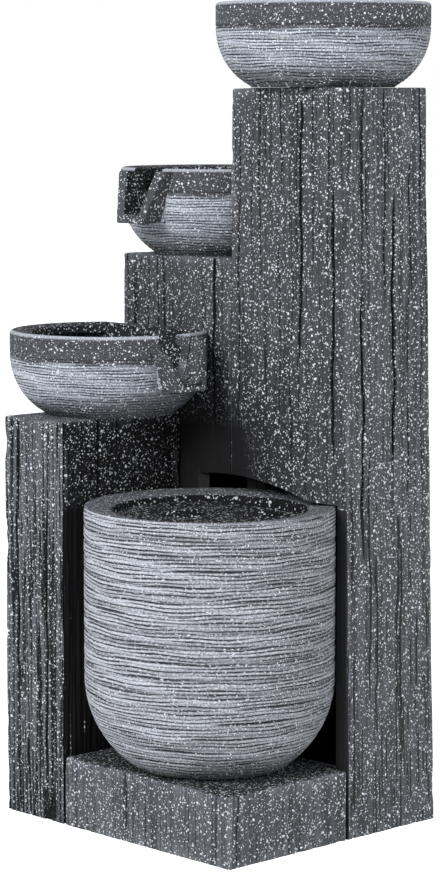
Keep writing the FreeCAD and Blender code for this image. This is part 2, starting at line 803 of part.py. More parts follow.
def pot_cover():
    foot = f"{COVER_LEVEL} - cover_thickness"
    disc = rod("cover_disc", COVER_RADIUS, "cover_thickness", ("pot_x", POT_Y, foot))
    mounds = []
    for number, (x, y) in enumerate(MOUNDS):
        mounds.append(cone(f"mound_{number}", "mound_radius", "mound_top_radius", "mound_height",
                           (x, y, COVER_LEVEL)))
        for step in (1, 2, 3):
            reach = f"mound_radius - (mound_radius - mound_top_radius) * {step} / 4"
            mounds.append(torus(f"mound_{number}_ridge_{step}", reach, "mound_ridge",
                                (x, y, f"{COVER_LEVEL} + mound_height * {step} / 4")))
    blank = fuse("cover_blank", disc, *mounds)
    wall_side = span("cover_side", ("plinth_length - cover_cut", f"{POT_Y} - {COVER_RADIUS}", foot),
                     (f"plinth_length + {COVER_RADIUS}", f"{POT_Y} + {COVER_RADIUS}",
                      f"{COVER_LEVEL} + 3 * mound_height"))
    drains = []
    for angle in range(75, 300, 30):
        drains.append(rod(f"drain_{angle}", "drain_radius", "2 * cover_thickness",
                          (f"pot_x + drain_ring * {math.cos(math.radians(angle)):.4f}",
                           f"{POT_Y} + drain_ring * {math.sin(math.radians(angle)):.4f}",
                           f"{foot} - cover_thickness / 2")))
    finish(cut("cover", blank, wall_side, *drains), "pump_cover")


INLET_TOP = "(tall_height + gasket_thickness + bowl_floor)"
INLET_UNDER = "(tall_height - shell_wall)"
HOSE_END = f"({INLET_UNDER} - inlet_nut_height - hose_stop)"
PUMP_LEVEL = f"({POT_FLOOR_LEVEL} + cup_height + pump_below)"
PUMP_X = "(pot_x + pump_offset)"
OUTLET_SPOT = (f"{PUMP_X} + outlet_offset", POT_Y)


def inlet():
    x, y = "top_bowl_x", "top_bowl_y"
    foot = f"({HOSE_END} - inlet_barb)"
    seat = f"{INLET_TOP} + washer_thickness"
    solids = (
        rod("inlet_pipe", "inlet_radius", f"inlet_stand + {seat} - {HOSE_END}", (x, y, HOSE_END)),
        rod("inlet_plate", "inlet_flange", "inlet_flange_height", (x, y, seat)),
        rod("inlet_tail", "barb_radius", f"{INLET_TOP} - {foot}", (x, y, foot)),
    )
    bore = rod("inlet_hole", "barb_bore", f"{seat} + inlet_stand + 2 * overrun - {foot}",
               (x, y, f"{foot} - overrun"))
    finish(cut("inlet", fuse("inlet_blank", *solids), bore), "inlet_fitting")
    finish(ring("inlet_ring", "inlet_flange", "inlet_radius + thread_gap", "washer_thickness",
                (x, y, INLET_TOP)), "inlet_seal")
    seat = (x, y, f"{INLET_UNDER} - inlet_nut_height")
    finish(cut("inlet_lock", hexagon("inlet_hex", "inlet_nut_radius", "inlet_nut_height", seat),
               rod("inlet_hex_bore", "inlet_radius + thread_gap", "inlet_nut_height", seat)), "inlet_nut")


def hose_route():
    """Corners of the hose's centre line and the bend at each inner corner."""
    x, y = (value(text) for text in OUTLET_SPOT)
    level = value(HOSE_LEVEL)
    outside = value("base_length - shell_wall - hose_wall_gap")
    inner_room = value(f"{POT_INNER_X} - grommet_lip - hose_lead") - x
    outer_room = outside - value("pot_x + pot_radius + hose_lead")
    start = value(f"{PUMP_LEVEL} + outlet_top - hose_joint")
    end = value(HOSE_END)
    top = FreeCAD.Vector(value("top_bowl_x"), value("top_bowl_y"), 0)
    straight = value("inlet_barb + hose_joint")
    corners = [FreeCAD.Vector(x, y, start), FreeCAD.Vector(x, y, level), FreeCAD.Vector(outside, y, level),
               FreeCAD.Vector(top.x, top.y, end - straight), FreeCAD.Vector(top.x, top.y, end)]
    bends = [widest_bend(inner_room, *corners[:3]), widest_bend(outer_room, *corners[1:4])]
    return corners, [*bends, value("hose_top_bend")]


def widest_bend(room, before, corner, after):
    """The radius of the arc that leaves its run at a given distance from the corner."""
    return room * math.tan((before - corner).getAngle(after - corner) / 2)


def rounded_wire(corners, bends):
    """Straight runs joined by tangent arcs."""
    edges = []
    last = corners[0]
    for before, corner, after, bend in zip(corners, corners[1:], corners[2:], bends):
        back = (before - corner).normalize()
        ahead = (after - corner).normalize()
        half = back.getAngle(ahead) / 2
        run = bend / math.tan(half)
        first = corner + back * run
        final = corner + ahead * run
        inward = (back + ahead).normalize()
        crown = corner + inward * (bend / math.sin(half) - bend)
        edges.append(Part.LineSegment(last, first).toShape())
        edges.append(Part.Arc(first, crown, final).toShape())
        last = final
    edges.append(Part.LineSegment(last, corners[-1]).toShape())
    return Part.Wire(edges)


def hose():
    corners, bends = hose_route()
    wire = rounded_wire(corners, bends)
    tubes = []
    for radius in (HOSE_RADIUS, f"{HOSE_RADIUS} - hose_wall"):
        circle = Part.Circle(corners[0], FreeCAD.Vector(0, 0, 1), value(radius))
        tubes.append(wire.makePipeShell([Part.Wire(circle.toShape())], True, True))
    tube = doc.addObject("Part::Feature", "hose")
    tube.Shape = tubes[0].cut(tubes[1])
    finish(tube, "riser_hose")
    finish(group("clamps", *(hose_clamp(name, spot) for name, spot in (
        ("low", (*OUTLET_SPOT, f"{PUMP_LEVEL} + outlet_top - hose_joint + clamp_inset")),
        ("high", ("top_bowl_x", "top_bowl_y", f"{HOSE_END} - clamp_width - clamp_inset"))))), "hose_clamps")


def grommet():
    """The rubber seal where the hose leaves the pot; its inner lip clears the pot's hollow curve."""
    sag = "(pot_radius - pot_wall - sqrt((pot_radius - pot_wall) ^ 2 - grommet_flange ^ 2))"
    inner_face = f"-{sag} - fit_gap"
    outer_face = "pot_wall + fit_gap"
    sleeve = rod("grommet_sleeve", "grommet_radius - hose_fit", f"{outer_face} - ({inner_face})",
                 along(GROMMET_SPOT, "x", inner_face), "x")
    inner_lip = rod("grommet_inner_lip", "grommet_flange", "grommet_lip",
                    along(GROMMET_SPOT, "x", f"{inner_face} - grommet_lip"), "x")
    outer_lip = rod("grommet_outer_lip", "grommet_flange", "grommet_lip",
                    along(GROMMET_SPOT, "x", outer_face), "x")
    bore = rod("grommet_bore", f"{HOSE_RADIUS} + hose_fit", "4 * pot_wall",
               along(GROMMET_SPOT, "x", "-2 * pot_wall"), "x")
    finish(cut("grommet_piece", fuse("grommet_blank", sleeve, inner_lip, outer_lip), bore), "hose_grommet")


def hose_clamp(name, spot):
    x, y, z = spot
    band = rod(f"clamp_band_{name}", f"{HOSE_RADIUS} + hose_fit + clamp_wall", "clamp_width", spot)
    block = span(f"clamp_block_{name}", (f"{x} + {HOSE_RADIUS}", f"{y} - clamp_width / 2", z),
                 (f"{x} + {HOSE_RADIUS} + clamp_width", f"{y} + clamp_width / 2", f"{z} + clamp_width"))
    return cut(f"clamp_{name}", fuse(f"clamp_blank_{name}", band, block),
               rod(f"clamp_bore_{name}", f"{HOSE_RADIUS} + hose_fit", "clamp_width", spot))


# Pump: drawn along x from its front face, then turned into the pot

def pump_finish(obj, label):
    place(obj, (PUMP_X, f"{POT_Y} + outlet_setback", PUMP_LEVEL), PUMP_TURN)
    return finish(obj, label)


def axle(name, radius, start, end, y="0", z="0"):
    """A rod along the pump from start to end."""
    return rod(name, radius, f"({end}) - ({start})", (start, y, z), "x")


BUSH_REAR = "(can_depth - bush_length / 2)"
BUSH_FORE = "(volute_wall - volute_depth - bush_length)"
GLAND_SLEEVE = "(gland_bore + pump_wall / 2)"


def pump_case():
    outer = span("pump_block", ("0", "-pump_half_width", "-pump_below"),
                 ("pump_length", "pump_half_width", "pump_above"))
    hollow = span("pump_hollow", ("pump_wall", "pump_wall - pump_half_width", "pump_wall - pump_below"),
                  ("pump_length + overrun", "pump_half_width - pump_wall", "pump_above - pump_wall"))
    can = axle("pump_can", "can_radius", "0", "can_depth + pump_wall")
    bore = axle("pump_bore", "can_bore", "-overrun", "can_depth")
    seat = axle("pump_bush_seat", "bush_radius + running_gap", BUSH_REAR, f"{BUSH_REAR} + bush_length")
    case = fuse("pump_shell", cut("pump_walls", outer, hollow), can)
    pump_finish(cut("pump_case", case, bore, seat, *volute_screw_holes("case")), "pump_housing")
    edge = "(pump_wall + fit_gap)"
    lid = span("pump_lid", ("pump_length - pump_wall", f"{edge} - pump_half_width", f"{edge} - pump_below"),
               ("pump_length", f"pump_half_width - {edge}", f"pump_above - {edge}"))
    ends = ("pump_length - 2 * pump_wall", "pump_length + 2 * pump_wall", "0", "-pump_below / 2")
    lid_hole = axle("pump_lid_hole", f"{GLAND_SLEEVE} + running_gap", *ends)
    pump_finish(cut("pump_lid_drilled", lid, lid_hole), "pump_back_cover")
    pump_finish(cut("pump_gland_bush", axle("pump_gland", GLAND_SLEEVE, *ends),
                    axle("pump_gland_bore", "gland_bore", *ends)), "pump_cable_gland")
    cups = [cone(f"cup_{number}_{side}", "cup_radius", "cup_neck", "cup_height",
                 (f"cup_start + {number} * cup_spacing", f"{side} * (pump_half_width - cup_radius)",
                  "-pump_below - cup_height"))
            for number in (0, 1) for side in (-1, 1)]
    pump_finish(group("cups", *cups), "suction_cups")


def volute_screw_spots():
    reach = "volute_screw_reach"
    return [(f"{y} * {reach}", f"{z} * {reach}") for y in (-1, 1) for z in (-1, 1)]


def volute_screw_holes(prefix):
    return [axle(f"{prefix}_screw_hole_{number}", "shaft_radius + fit_gap", "-volute_depth - overrun",
                 "pump_wall + overrun", y, z)
            for number, (y, z) in enumerate(volute_screw_spots())]


def volute():
    half = "volute_half_width"
    front = "-volute_depth"
    inside = "(volute_wall - volute_depth)"
    block = span("volute_block", (front, f"-{half}", f"-{half}"), ("0", half, half))
    outlet_spot = ("-outlet_setback", "-outlet_offset", "0")
    tail = rod("volute_tail", "barb_radius", "outlet_top", outlet_spot)
    groove_depth = "-2 * (ring_section + running_gap)"
    groove = cut("volute_groove", axle("groove_outer", "ring_radius + ring_room", groove_depth, "overrun"),
                 axle("groove_inner", "ring_radius - ring_room", groove_depth, "overrun"))
    opened = cut("volute_open", fuse("volute_blank", block, tail),
                 axle("volute_chamber", "volute_bore", inside, "overrun"),
                 rod("volute_tail_bore", "barb_bore", "outlet_top + overrun", outlet_spot),
                 axle("volute_eye", "inlet_eye", f"{front} - overrun", f"{inside} + overrun"),
                 groove, *volute_screw_holes("volute"))
    arm = span("volute_arm", (front, "-inlet_eye - overrun", "-shaft_radius"),
               (inside, "inlet_eye + overrun", "shaft_radius"))
    boss = axle("volute_boss", "bush_radius + shaft_radius", front, inside)
    seat = axle("volute_bush_seat", "bush_radius + running_gap", BUSH_FORE, f"{inside} + overrun")
    pump_finish(cut("volute", fuse("volute_spider", opened, arm, boss), seat), "volute_cover")
    seal = torus("volute_ring", "ring_radius", "ring_section",
                 ("-ring_section - running_gap", "0", "0"), "x")
    pump_finish(group("volute_seal", seal), "volute_o_ring")
    screws = []
    for number, (y, z) in enumerate(volute_screw_spots()):
        shank = axle(f"volute_shank_{number}", "shaft_radius", front, "pump_wall", y, z)
        head = axle(f"volute_head_{number}", "2 * shaft_radius", f"{front} - shaft_radius", front, y, z)
        screws.append(fuse(f"volute_screw_{number}", shank, head))
    pump_finish(group("volute_screw_set", *screws), "volute_screws")


def rotor():
    bore = axle("rotor_bore", "shaft_radius + running_gap", "-pump_length", "pump_length")
    magnet = axle("magnet", "magnet_radius", "magnet_start", "magnet_start + magnet_length")
    pump_finish(cut("magnet_bored", magnet, bore), "rotor_magnet")
    front = "(2 * volute_wall - volute_depth)"
    back = f"({front} + blade_length)"
    hub = axle("impeller_boss", "impeller_hub", front, "magnet_start")
    disc = axle("impeller_disc", "impeller_radius", back, f"{back} + blade_thickness")
    blades = []
    for number in range(BLADE_COUNT):
        blade = doc.addObject("Part::Box", f"blade_{number}")
        bind(blade, Length="blade_length + blade_thickness / 2", Width="blade_thickness",
             Height="impeller_radius - blade_thickness")
        turn = FreeCAD.Rotation(FreeCAD.Vector(1, 0, 0), 360 / BLADE_COUNT * number)
        blades.append(place(blade, (front, "0", "0"), turn))
    wheel = fuse("impeller_blank", hub, disc, *blades)
    pump_finish(cut("impeller_bored", wheel, bore), "impeller")
    shaft = axle("shaft", "shaft_radius", BUSH_FORE, f"{BUSH_REAR} + bush_length")
    pump_finish(group("shaft_piece", shaft), "rotor_shaft")
    bushes = [ring(f"bush_{name}", "bush_radius", "shaft_radius + running_gap / 2", "bush_length",
                   (start, "0", "0"), "x") for name, start in (("rear", BUSH_REAR), ("fore", BUSH_FORE))]
    pump_finish(group("bush_set", *bushes), "shaft_bushes")


def stator():
    low = "-pump_below / 2"
    end = "core_start + core_length"
    block = span("core_block", ("core_start", "-core_width", low), (end, "core_width", "core_top"))
    gap = span("core_gap", ("core_start - overrun", "-can_radius - fit_gap", f"{low} - overrun"),
               (f"{end} + overrun", "can_radius + fit_gap", "core_gap_top"))
    pump_finish(cut("core", block, gap), "stator_core")
    wound = span("coil_block", ("core_start - coil_build", "-coil_half_width", "core_gap_top - coil_build"),
                 (f"{end} + coil_build", "coil_half_width", "core_top + coil_build"))
    slot = span("coil_slot", ("core_start - fit_gap", "-core_width", "core_gap_top - fit_gap"),
                (f"{end} + fit_gap", "core_width", "core_top + fit_gap"))
    pump_finish(cut("coil", wound, slot), "stator_coil")


def ports(name, start, end):
    """Four inlet holes round the dial's stem."""
    holes = []
    for number in range(4):
        angle = math.radians(90 * number)
        holes.append(axle(f"{name}_port_{number}", "slot_width", start, end,
                          f"port_ring * {round(math.cos(angle))}", f"port_ring * {round(math.sin(angle))}"))
    return holes


def strainer():
    back = "(-volute_depth - strainer_gap)"
    front = f"({back} - strainer_depth)"
    half = "volute_half_width"
    wall = "strainer_wall"
    inside = f"({front} + {wall})"
    outer = span("strainer_block", (front, f"-{half}", f"-{half}"), (back, half, half))
    hollow = span("strainer_hollow", (inside, f"{wall} - {half}", f"{wall} - {half}"),
                  (f"{back} + overrun", f"{half} - {wall}", f"{half} - {wall}"))
    slots = []
    for number in range(SLOT_COUNT):
        middle = f"2 * slot_width * ({number} - {SLOT_COUNT // 2})"
        slots.append(span(f"strainer_slot_{number}",
                          (f"{inside} + {wall}", f"{middle} - slot_width / 2", f"-{half} - overrun"),
                          (f"{back} - 2 * {wall}", f"{middle} + slot_width / 2", f"{half} + overrun")))
    hole = axle("strainer_hole", "dial_stem + running_gap", f"{front} - overrun", f"{inside} + overrun")
    pump_finish(cut("strainer", outer, hollow, hole, *slots,
                    *ports("strainer", f"{front} - overrun", f"{inside} + overrun")), "strainer_cover")
    dial_back = f"({front} - strainer_gap)"
    dial_front = f"({dial_back} - dial_thickness)"
    disc = axle("dial_disc", "dial_radius", dial_front, dial_back)
    pointer = span("dial_pointer", (f"{dial_front} - dial_thickness / 2", "-slot_width / 2", "port_ring"),
                   (f"{dial_back} - dial_thickness / 2", "slot_width / 2", "dial_radius"))
    stem = axle("dial_stem_rod", "dial_stem", dial_front, f"{inside} + {wall}")
    collar = axle("dial_collar", f"dial_stem + {wall} / 2", f"{inside} + strainer_gap", f"{inside} + {wall}")
    pump_finish(cut("dial", fuse("dial_blank", disc, pointer, stem, collar),
                    *ports("dial", f"{dial_front} - overrun", f"{dial_back} + overrun")), "flow_dial")


# Rear hatch in the middle column

DOOR_FACE = "base_depth"
DOOR_LEFT = "(plinth_length + door_side)"
DOOR_RIGHT = "(base_length - door_side)"
HINGE_X = f"({DOOR_LEFT} + door_thickness / 2)"
HINGE_Y = f"({DOOR_FACE} - door_thickness / 2)"
LATCH_X = f"({DOOR_RIGHT} - latch_inset)"
LATCH_Z = "(door_z + door_height / 2)"
GLAND_X = "((plinth_length + base_length) / 2)"
PIN_LEVELS = {
    "low": "(door_z - door_gap - pin_half)",
    "high": "(door_z + door_height + door_gap - pin_half)",
}


def hinge_rods(name, radius):
    """Rods on the hinge line, one at each end of the door."""
    return [rod(f"{name}_{end}", radius, "2 * pin_half", (HINGE_X, HINGE_Y, level))
            for end, level in PIN_LEVELS.items()]


def cross_rod(name, radius, start, end, x=LATCH_X, level=LATCH_Z):
    """A rod through the rear wall, in line with the latch unless another place is given."""
    return rod(name, radius, f"({end}) - ({start})", (x, start, level), "y")


def hatch_cuts():
    outside = f"{DOOR_FACE} + overrun"
    inside = f"{DOOR_FACE} - shell_wall - overrun"
    back = f"{DOOR_FACE} - door_thickness - door_back_gap"
    recess = span("hatch_recess", (f"{DOOR_LEFT} - door_gap", back, "door_z - door_gap"),
                  (f"{DOOR_RIGHT} + door_gap", outside, "door_z + door_height + door_gap"))
    hole = span("hatch_hole", (f"{DOOR_LEFT} + door_lip", inside, "door_z + door_lip"),
                (f"{DOOR_RIGHT} - door_lip", outside, "door_z + door_height - door_lip"))
    gland = cross_rod("hatch_gland_hole", "gland_radius + running_gap", inside, outside, GLAND_X,
                      "gland_level")
    return [recess, hole, *hinge_rods("hatch_pin_hole", "pin_radius + running_gap"), gland]


def hatch():
    panel = span("door_panel", (HINGE_X, f"{DOOR_FACE} - door_thickness", "door_z"),
                 (DOOR_RIGHT, DOOR_FACE, "door_z + door_height"))
    barrel = rod("door_barrel", "door_thickness / 2", "door_height", (HINGE_X, HINGE_Y, "door_z"))
    spindle_hole = cross_rod("door_spindle_hole", "latch_spindle + running_gap",
                             f"{DOOR_FACE} - 2 * door_thickness", f"{DOOR_FACE} + overrun")
    finish(cut("door", fuse("door_blank", panel, barrel),
               *hinge_rods("door_bore", "pin_radius + running_gap"), spindle_hole), "access_door")
    finish(group("pin_set", *hinge_rods("pin", "pin_radius")), "door_hinge_pins")


def latch():
    cam_front = f"({DOOR_FACE} - shell_wall - door_back_gap)"
    cam_back = f"({cam_front} - cam_thickness)"
    knob_back = f"({DOOR_FACE} + door_back_gap)"
    knob_front = f"({knob_back} + latch_height)"
    knob = cross_rod("latch_knob", "latch_radius", knob_back, knob_front)
    grip = span("latch_grip", (f"{LATCH_X} - grip_width / 2", knob_back, f"{LATCH_Z} - latch_radius"),
                (f"{LATCH_X} + grip_width / 2", f"{knob_front} + grip_height", f"{LATCH_Z} + latch_radius"))
    spindle = cross_rod("latch_rod", "latch_spindle", cam_front, knob_back)
    nose = cross_rod("latch_nose", "cam_bore", cam_back, cam_front)
    finish(fuse("latch", knob, grip, spindle, nose), "door_latch")
    blade = span("cam_blade", (f"{LATCH_X} - cam_width / 2", cam_back, f"{LATCH_Z} - cam_width / 2"),
                 (f"{LATCH_X} + cam_width / 2", cam_front, f"{LATCH_Z} + cam_length"))
    cam_hole = cross_rod("cam_hole", "cam_bore + thread_gap", f"{cam_back} - overrun",
                         f"{cam_front} + overrun")
    finish(cut("cam", blade, cam_hole), "latch_cam")


def cable_gland():
    inner = f"({DOOR_FACE} - shell_wall)"
    outer = DOOR_FACE
    ends = (f"{inner} - grommet_lip", f"{outer} + grommet_lip", GLAND_X, "gland_level")
    sleeve = cross_rod("gland_sleeve", "gland_radius", *ends)
    inner_lip = cross_rod("gland_inner_lip", "gland_flange", ends[0], inner, *ends[2:])
    outer_lip = cross_rod("gland_outer_lip", "gland_flange", outer, ends[1], *ends[2:])
    finish(cut("gland", fuse("gland_blank", sleeve, inner_lip, outer_lip),
               cross_rod("gland_hole", "gland_bore", *ends)), "cable_gland")


def check_and_write():
    doc.recompute()
    faults = [obj.Name for obj in doc.Objects if {"Invalid", "Error"} & set(obj.State)]
    if faults:
        raise RuntimeError("failed objects: " + ", ".join(faults))
    for obj in finished:
        if obj.Shape.isNull() or not obj.Shape.isValid() or not obj.Shape.Solids:
            raise RuntimeError("bad shape: " + obj.Label)
    os.makedirs("parts", exist_ok=True)
    for obj in finished:
        obj.Shape.exportStep(f"parts/{obj.Label}.step")


fill_sheet()
base_plate()
columns()
base_screws()
ties()
for bowl_name in BOWLS:
    bowl(bowl_name)
bowl_fixings()
pot()
pot_cover()
inlet()
hose()
grommet()
pump_case()
volute()
rotor()
stator()
strainer()
hatch()
latch()
cable_gland()
check_and_write()
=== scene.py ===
import json
import math
import random

import bmesh
import bpy
import numpy as np
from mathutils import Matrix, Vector


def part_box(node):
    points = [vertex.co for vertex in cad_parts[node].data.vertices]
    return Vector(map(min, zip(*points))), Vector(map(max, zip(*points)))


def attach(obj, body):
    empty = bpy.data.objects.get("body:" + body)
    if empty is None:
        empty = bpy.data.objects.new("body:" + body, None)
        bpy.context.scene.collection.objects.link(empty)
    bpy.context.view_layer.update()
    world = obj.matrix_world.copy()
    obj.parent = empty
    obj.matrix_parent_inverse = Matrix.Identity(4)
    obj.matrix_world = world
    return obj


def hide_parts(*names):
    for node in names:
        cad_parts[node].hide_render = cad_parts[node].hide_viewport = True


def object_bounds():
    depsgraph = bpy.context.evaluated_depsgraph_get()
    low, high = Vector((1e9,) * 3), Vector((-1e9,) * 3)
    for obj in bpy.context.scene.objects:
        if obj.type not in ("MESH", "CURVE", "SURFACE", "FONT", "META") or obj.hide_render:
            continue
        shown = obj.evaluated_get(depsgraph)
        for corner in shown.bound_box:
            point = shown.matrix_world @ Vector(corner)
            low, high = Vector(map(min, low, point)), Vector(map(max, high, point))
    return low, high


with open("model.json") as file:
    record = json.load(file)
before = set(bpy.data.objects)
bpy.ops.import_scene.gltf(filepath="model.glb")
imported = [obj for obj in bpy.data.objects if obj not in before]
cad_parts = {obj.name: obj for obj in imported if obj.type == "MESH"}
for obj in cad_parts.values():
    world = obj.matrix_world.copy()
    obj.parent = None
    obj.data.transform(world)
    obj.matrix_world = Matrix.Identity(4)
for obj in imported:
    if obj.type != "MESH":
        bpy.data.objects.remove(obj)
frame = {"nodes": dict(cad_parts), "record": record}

cad_low, cad_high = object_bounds()

# Sizes in metres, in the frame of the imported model

SHELL_WALL = 0.010
EDGE_ROUND = 0.0022
WORN_WIDTH = 0.012
CHAMFER = 0.001
GRAIN_STEP = 0.0016
LEVEL_STEP = 0.007
TALL_LEAN = (0.010, 0.014)
FACET_SAG = 0.0001
POT_CENTRE = Vector((-0.072, -0.059))
POT_RADIUS = 0.1515 - FACET_SAG
POT_ROOM = 0.153
POT_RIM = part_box("reservoir_pot")[1].z
POT_GAP = 0.0015
POT_SHOULDER = 0.110
POT_UNDERCUT = 0.0595
POT_WALL = 0.014
POT_MOUTH = 0.034
POT_EDGE = 0.003
POT_ROUND = 0.0008
POT_LIP = {"root": 0.040, "under": 0.030, "drop": 0.006}
ARCH_RISE = 0.022
ARCH_HALF = 0.137
BOWL_UNDERCUT = 0.042
BOWL_BAND = 0.030
BOWL_RIM = 0.026
BOWL_WALL = 0.014
BOWL_EDGE = 0.004
BOWL_ROUND = 0.0012
BOWL_BED = 0.0016
BOWL_GROOVE = {"width": 0.0024, "depth": 0.0014}
BOWL_LIP = {"root": 0.018, "under": 0.012, "drop": 0.004}
ROW_STEP = 0.0008
BOWL_LINES = {"pitch": 0.0036, "depth": 0.0008}
POT_LINES = {"pitch": 0.0045, "depth": 0.0011}
BOWLS = {
    "top_bowl": {"centre": Vector((0.089, -0.088)), "radius": 0.130 - FACET_SAG, "spout": 90,
                 "reach": 0.020, "worn": 0.0},
    "middle_bowl": {"centre": Vector((0.108, 0.112)), "radius": 0.126 - FACET_SAG, "spout": 180,
                    "reach": 0.031, "worn": 0.0},
    "lower_bowl": {"centre": Vector((-0.054, 0.142)), "radius": 0.124 - FACET_SAG, "spout": 270,
                   "reach": 0.031, "worn": 0.020},
}
CRACK = {"depth": 0.0042, "half_width": 0.0024, "inset": 0.030, "spacing": 0.054, "length": 0.330,
         "stagger": 0.110}
THIN_CRACK = {"inset": 0.006, "length": (0.08, 0.36), "half_width": (0.0012, 0.0017),
              "strength": (0.14, 0.46)}
WAVE = {"cell": (0.09, 0.09, 0.16), "depth": 0.0016}
CHIP = {"cell": (0.014, 0.014, 0.026), "depth": 0.0042}
SPOUT_WEAR = {"cell": (0.012, 0.012, 0.012), "depth": 0.0014, "voxel": 0.0014}
GROOVE = {"start": 0.024, "pitch": 0.018, "half_width": 0.0020, "depth": 0.0014}
SPOUT = {"height": 0.068, "floor": 0.012, "reach_top": 0.010, "below_rim": 0.003,
         "width_top": 0.084, "width_foot": 0.048, "cheek_top": 0.015, "cheek_foot": 0.011}
HATCH = {"gap": 0.001, "lip": 0.010, "depth": 0.0065, "gland_radius": 0.00705}


# Modelling by hand

def fresh():
    """Object mode with nothing selected."""
    if bpy.context.mode != "OBJECT":
        bpy.ops.object.mode_set(mode="OBJECT")
    bpy.ops.object.select_all(action="DESELECT")


def take(piece):
    """Makes a piece the only selected and active one."""
    fresh()
    piece.select_set(True)
    bpy.context.view_layer.objects.active = piece


def edit(piece):
    take(piece)
    bpy.ops.object.mode_set(mode="EDIT")


def done():
    bpy.ops.object.mode_set(mode="OBJECT")


def named(name):
    """Names the new primitive and moves its place into its mesh."""
    piece = bpy.context.object
    piece.name = name
    bpy.ops.object.transform_apply(location=True, rotation=True, scale=True)
    return piece


def pick(piece, kind, wanted):
    """Selects, in edit mode, only the verts, edges or faces that pass the test."""
    bpy.context.tool_settings.mesh_select_mode = [kind == word for word in ("verts", "edges", "faces")]
    bpy.ops.mesh.select_all(action="DESELECT")
    mesh = bmesh.from_edit_mesh(piece.data)
    for item in getattr(mesh, kind):
        if wanted(item):
            item.select_set(True)
    mesh.select_flush_mode()
    bmesh.update_edit_mesh(piece.data)


def modify(piece, kind, **settings):
    """Adds a modifier and applies it."""
    take(piece)
    modifier = piece.modifiers.new(kind.title(), kind)
    for name, setting in settings.items():
        setattr(modifier, name, setting)
    bpy.ops.object.modifier_apply(modifier=modifier.name)


def combine(piece, tool, operation):
    """Joins a tool to a piece, cuts it out, or keeps what both share, and removes the tool."""
    modify(piece, "BOOLEAN", object=tool, operation=operation, solver="MANIFOLD")
    bpy.data.objects.remove(tool)


def block(name, low, high):
    fresh()
    low, high = Vector(low), Vector(high)
    bpy.ops.mesh.primitive_cube_add(size=1, location=(low + high) / 2, scale=high - low)
    return named(name)


def bar(name, radius, middle, length, turn=(0, 0, 0), sides=160):
    """A cylinder round a middle point; turn is its rotation from upright."""
    fresh()
    bpy.ops.mesh.primitive_cylinder_add(vertices=sides, radius=radius, depth=length, location=middle,
                                        rotation=turn)
    return named(name)


def main_axis(edge):
    """The axis that an edge mostly runs along."""
    step = edge.verts[1].co - edge.verts[0].co
    return max(range(3), key=lambda axis: abs(step[axis]))


def refine(piece, axis, step, parts=4):
    """Divides the long edges along an axis into even steps."""

    def long_edge(edge):
        return main_axis(edge) == axis and edge.calc_length() > 4 * step

    mesh = bmesh.from_edit_mesh(piece.data)
    longest = max(edge.calc_length() for edge in mesh.edges if main_axis(edge) == axis)
    for cuts in (parts - 1, max(1, round(longest / step / parts) - 1)):
        pick(piece, "edges", long_edge)
        bpy.ops.mesh.subdivide(number_cuts=cuts)


def turned(name, centre, profile, sides=220):
    """A turned solid: one vertex drawn along the profile, and the line spun about the upright axis."""
    fresh()
    radius, height = profile[0]
    bpy.ops.mesh.primitive_plane_add(size=ROW_STEP, location=(centre.x + radius, centre.y, height))
    piece = named(name)
    edit(piece)
    pick(piece, "verts", lambda vertex: True)
    bpy.ops.mesh.merge(type="CENTER")
    for before, after in zip(profile, profile[1:]):
        step = (after[0] - before[0], 0, after[1] - before[1])
        bpy.ops.mesh.extrude_region_move(TRANSFORM_OT_translate={"value": step})
    bpy.ops.mesh.select_all(action="SELECT")
    bpy.ops.mesh.spin(steps=sides, angle=math.tau, center=(*centre, 0), axis=(0, 0, 1))
    bpy.ops.mesh.select_all(action="SELECT")
    bpy.ops.mesh.remove_doubles(threshold=ROW_STEP / 10)
    bpy.ops.mesh.normals_make_consistent(inside=False)
    done()
    return piece


def straight(start, end, step):
    """Profile points on a straight run, without its start."""
    count = max(1, round((Vector(end) - Vector(start)).length / step))
    return [tuple(Vector(start).lerp(end, number / count)) for number in range(1, count + 1)]


def swell(foot, waist, step):
    """Profile points on an arc that ends upright at the waist, without its start."""
    across = waist[0] - foot[0]
    rise = waist[1] - foot[1]
    bend = (across ** 2 + rise ** 2) / (2 * across)
    sweep = math.asin(rise / bend)
    count = max(1, round(bend * sweep / step))
    angles = [sweep * (1 - number / count) for number in range(1, count + 1)]
    return [(waist[0] - bend + bend * math.cos(turn), waist[1] - bend * math.sin(turn)) for turn in angles]


# Relief of the castings

def level_above(texture, share):
    """Makes a texture flat above a share of its height, so that its valleys are narrow."""
    texture.use_color_ramp = True
    ends = texture.color_ramp.elements
    ends[0].color = (0, 0, 0, 1)
    ends[1].position = share
    ends[1].color = (1, 1, 1, 1)
    return texture


def soft_noise(name, octaves):
    texture = bpy.data.textures.new(name, "CLOUDS")
    texture.noise_scale = 1
    texture.noise_depth = octaves
    return texture


def folded_noise(name, valley, octaves=0):
    """Noise with sharp valleys, as wide as the given share of its height."""
    texture = soft_noise(name, octaves)
    texture.noise_type = "HARD_NOISE"
    return level_above(texture, valley)


DEPTH_UNIT = 0.003
FINE_GRAIN = folded_noise("fine_grain", 0.30)
CRACKS = folded_noise("cracks", 0.045)
SPLITS = folded_noise("splits", 0.085, 1)
CHIPS = level_above(soft_noise("chips", 2), 0.44)
WAVES = level_above(soft_noise("waves", 1), 0.52)
WEAR = soft_noise("wear", 2)
ACROSS = 3.0


def points(piece):
    flat = np.empty(3 * len(piece.data.vertices), np.float32)
    piece.data.vertices.foreach_get("co", flat)
    return flat.reshape(-1, 3)


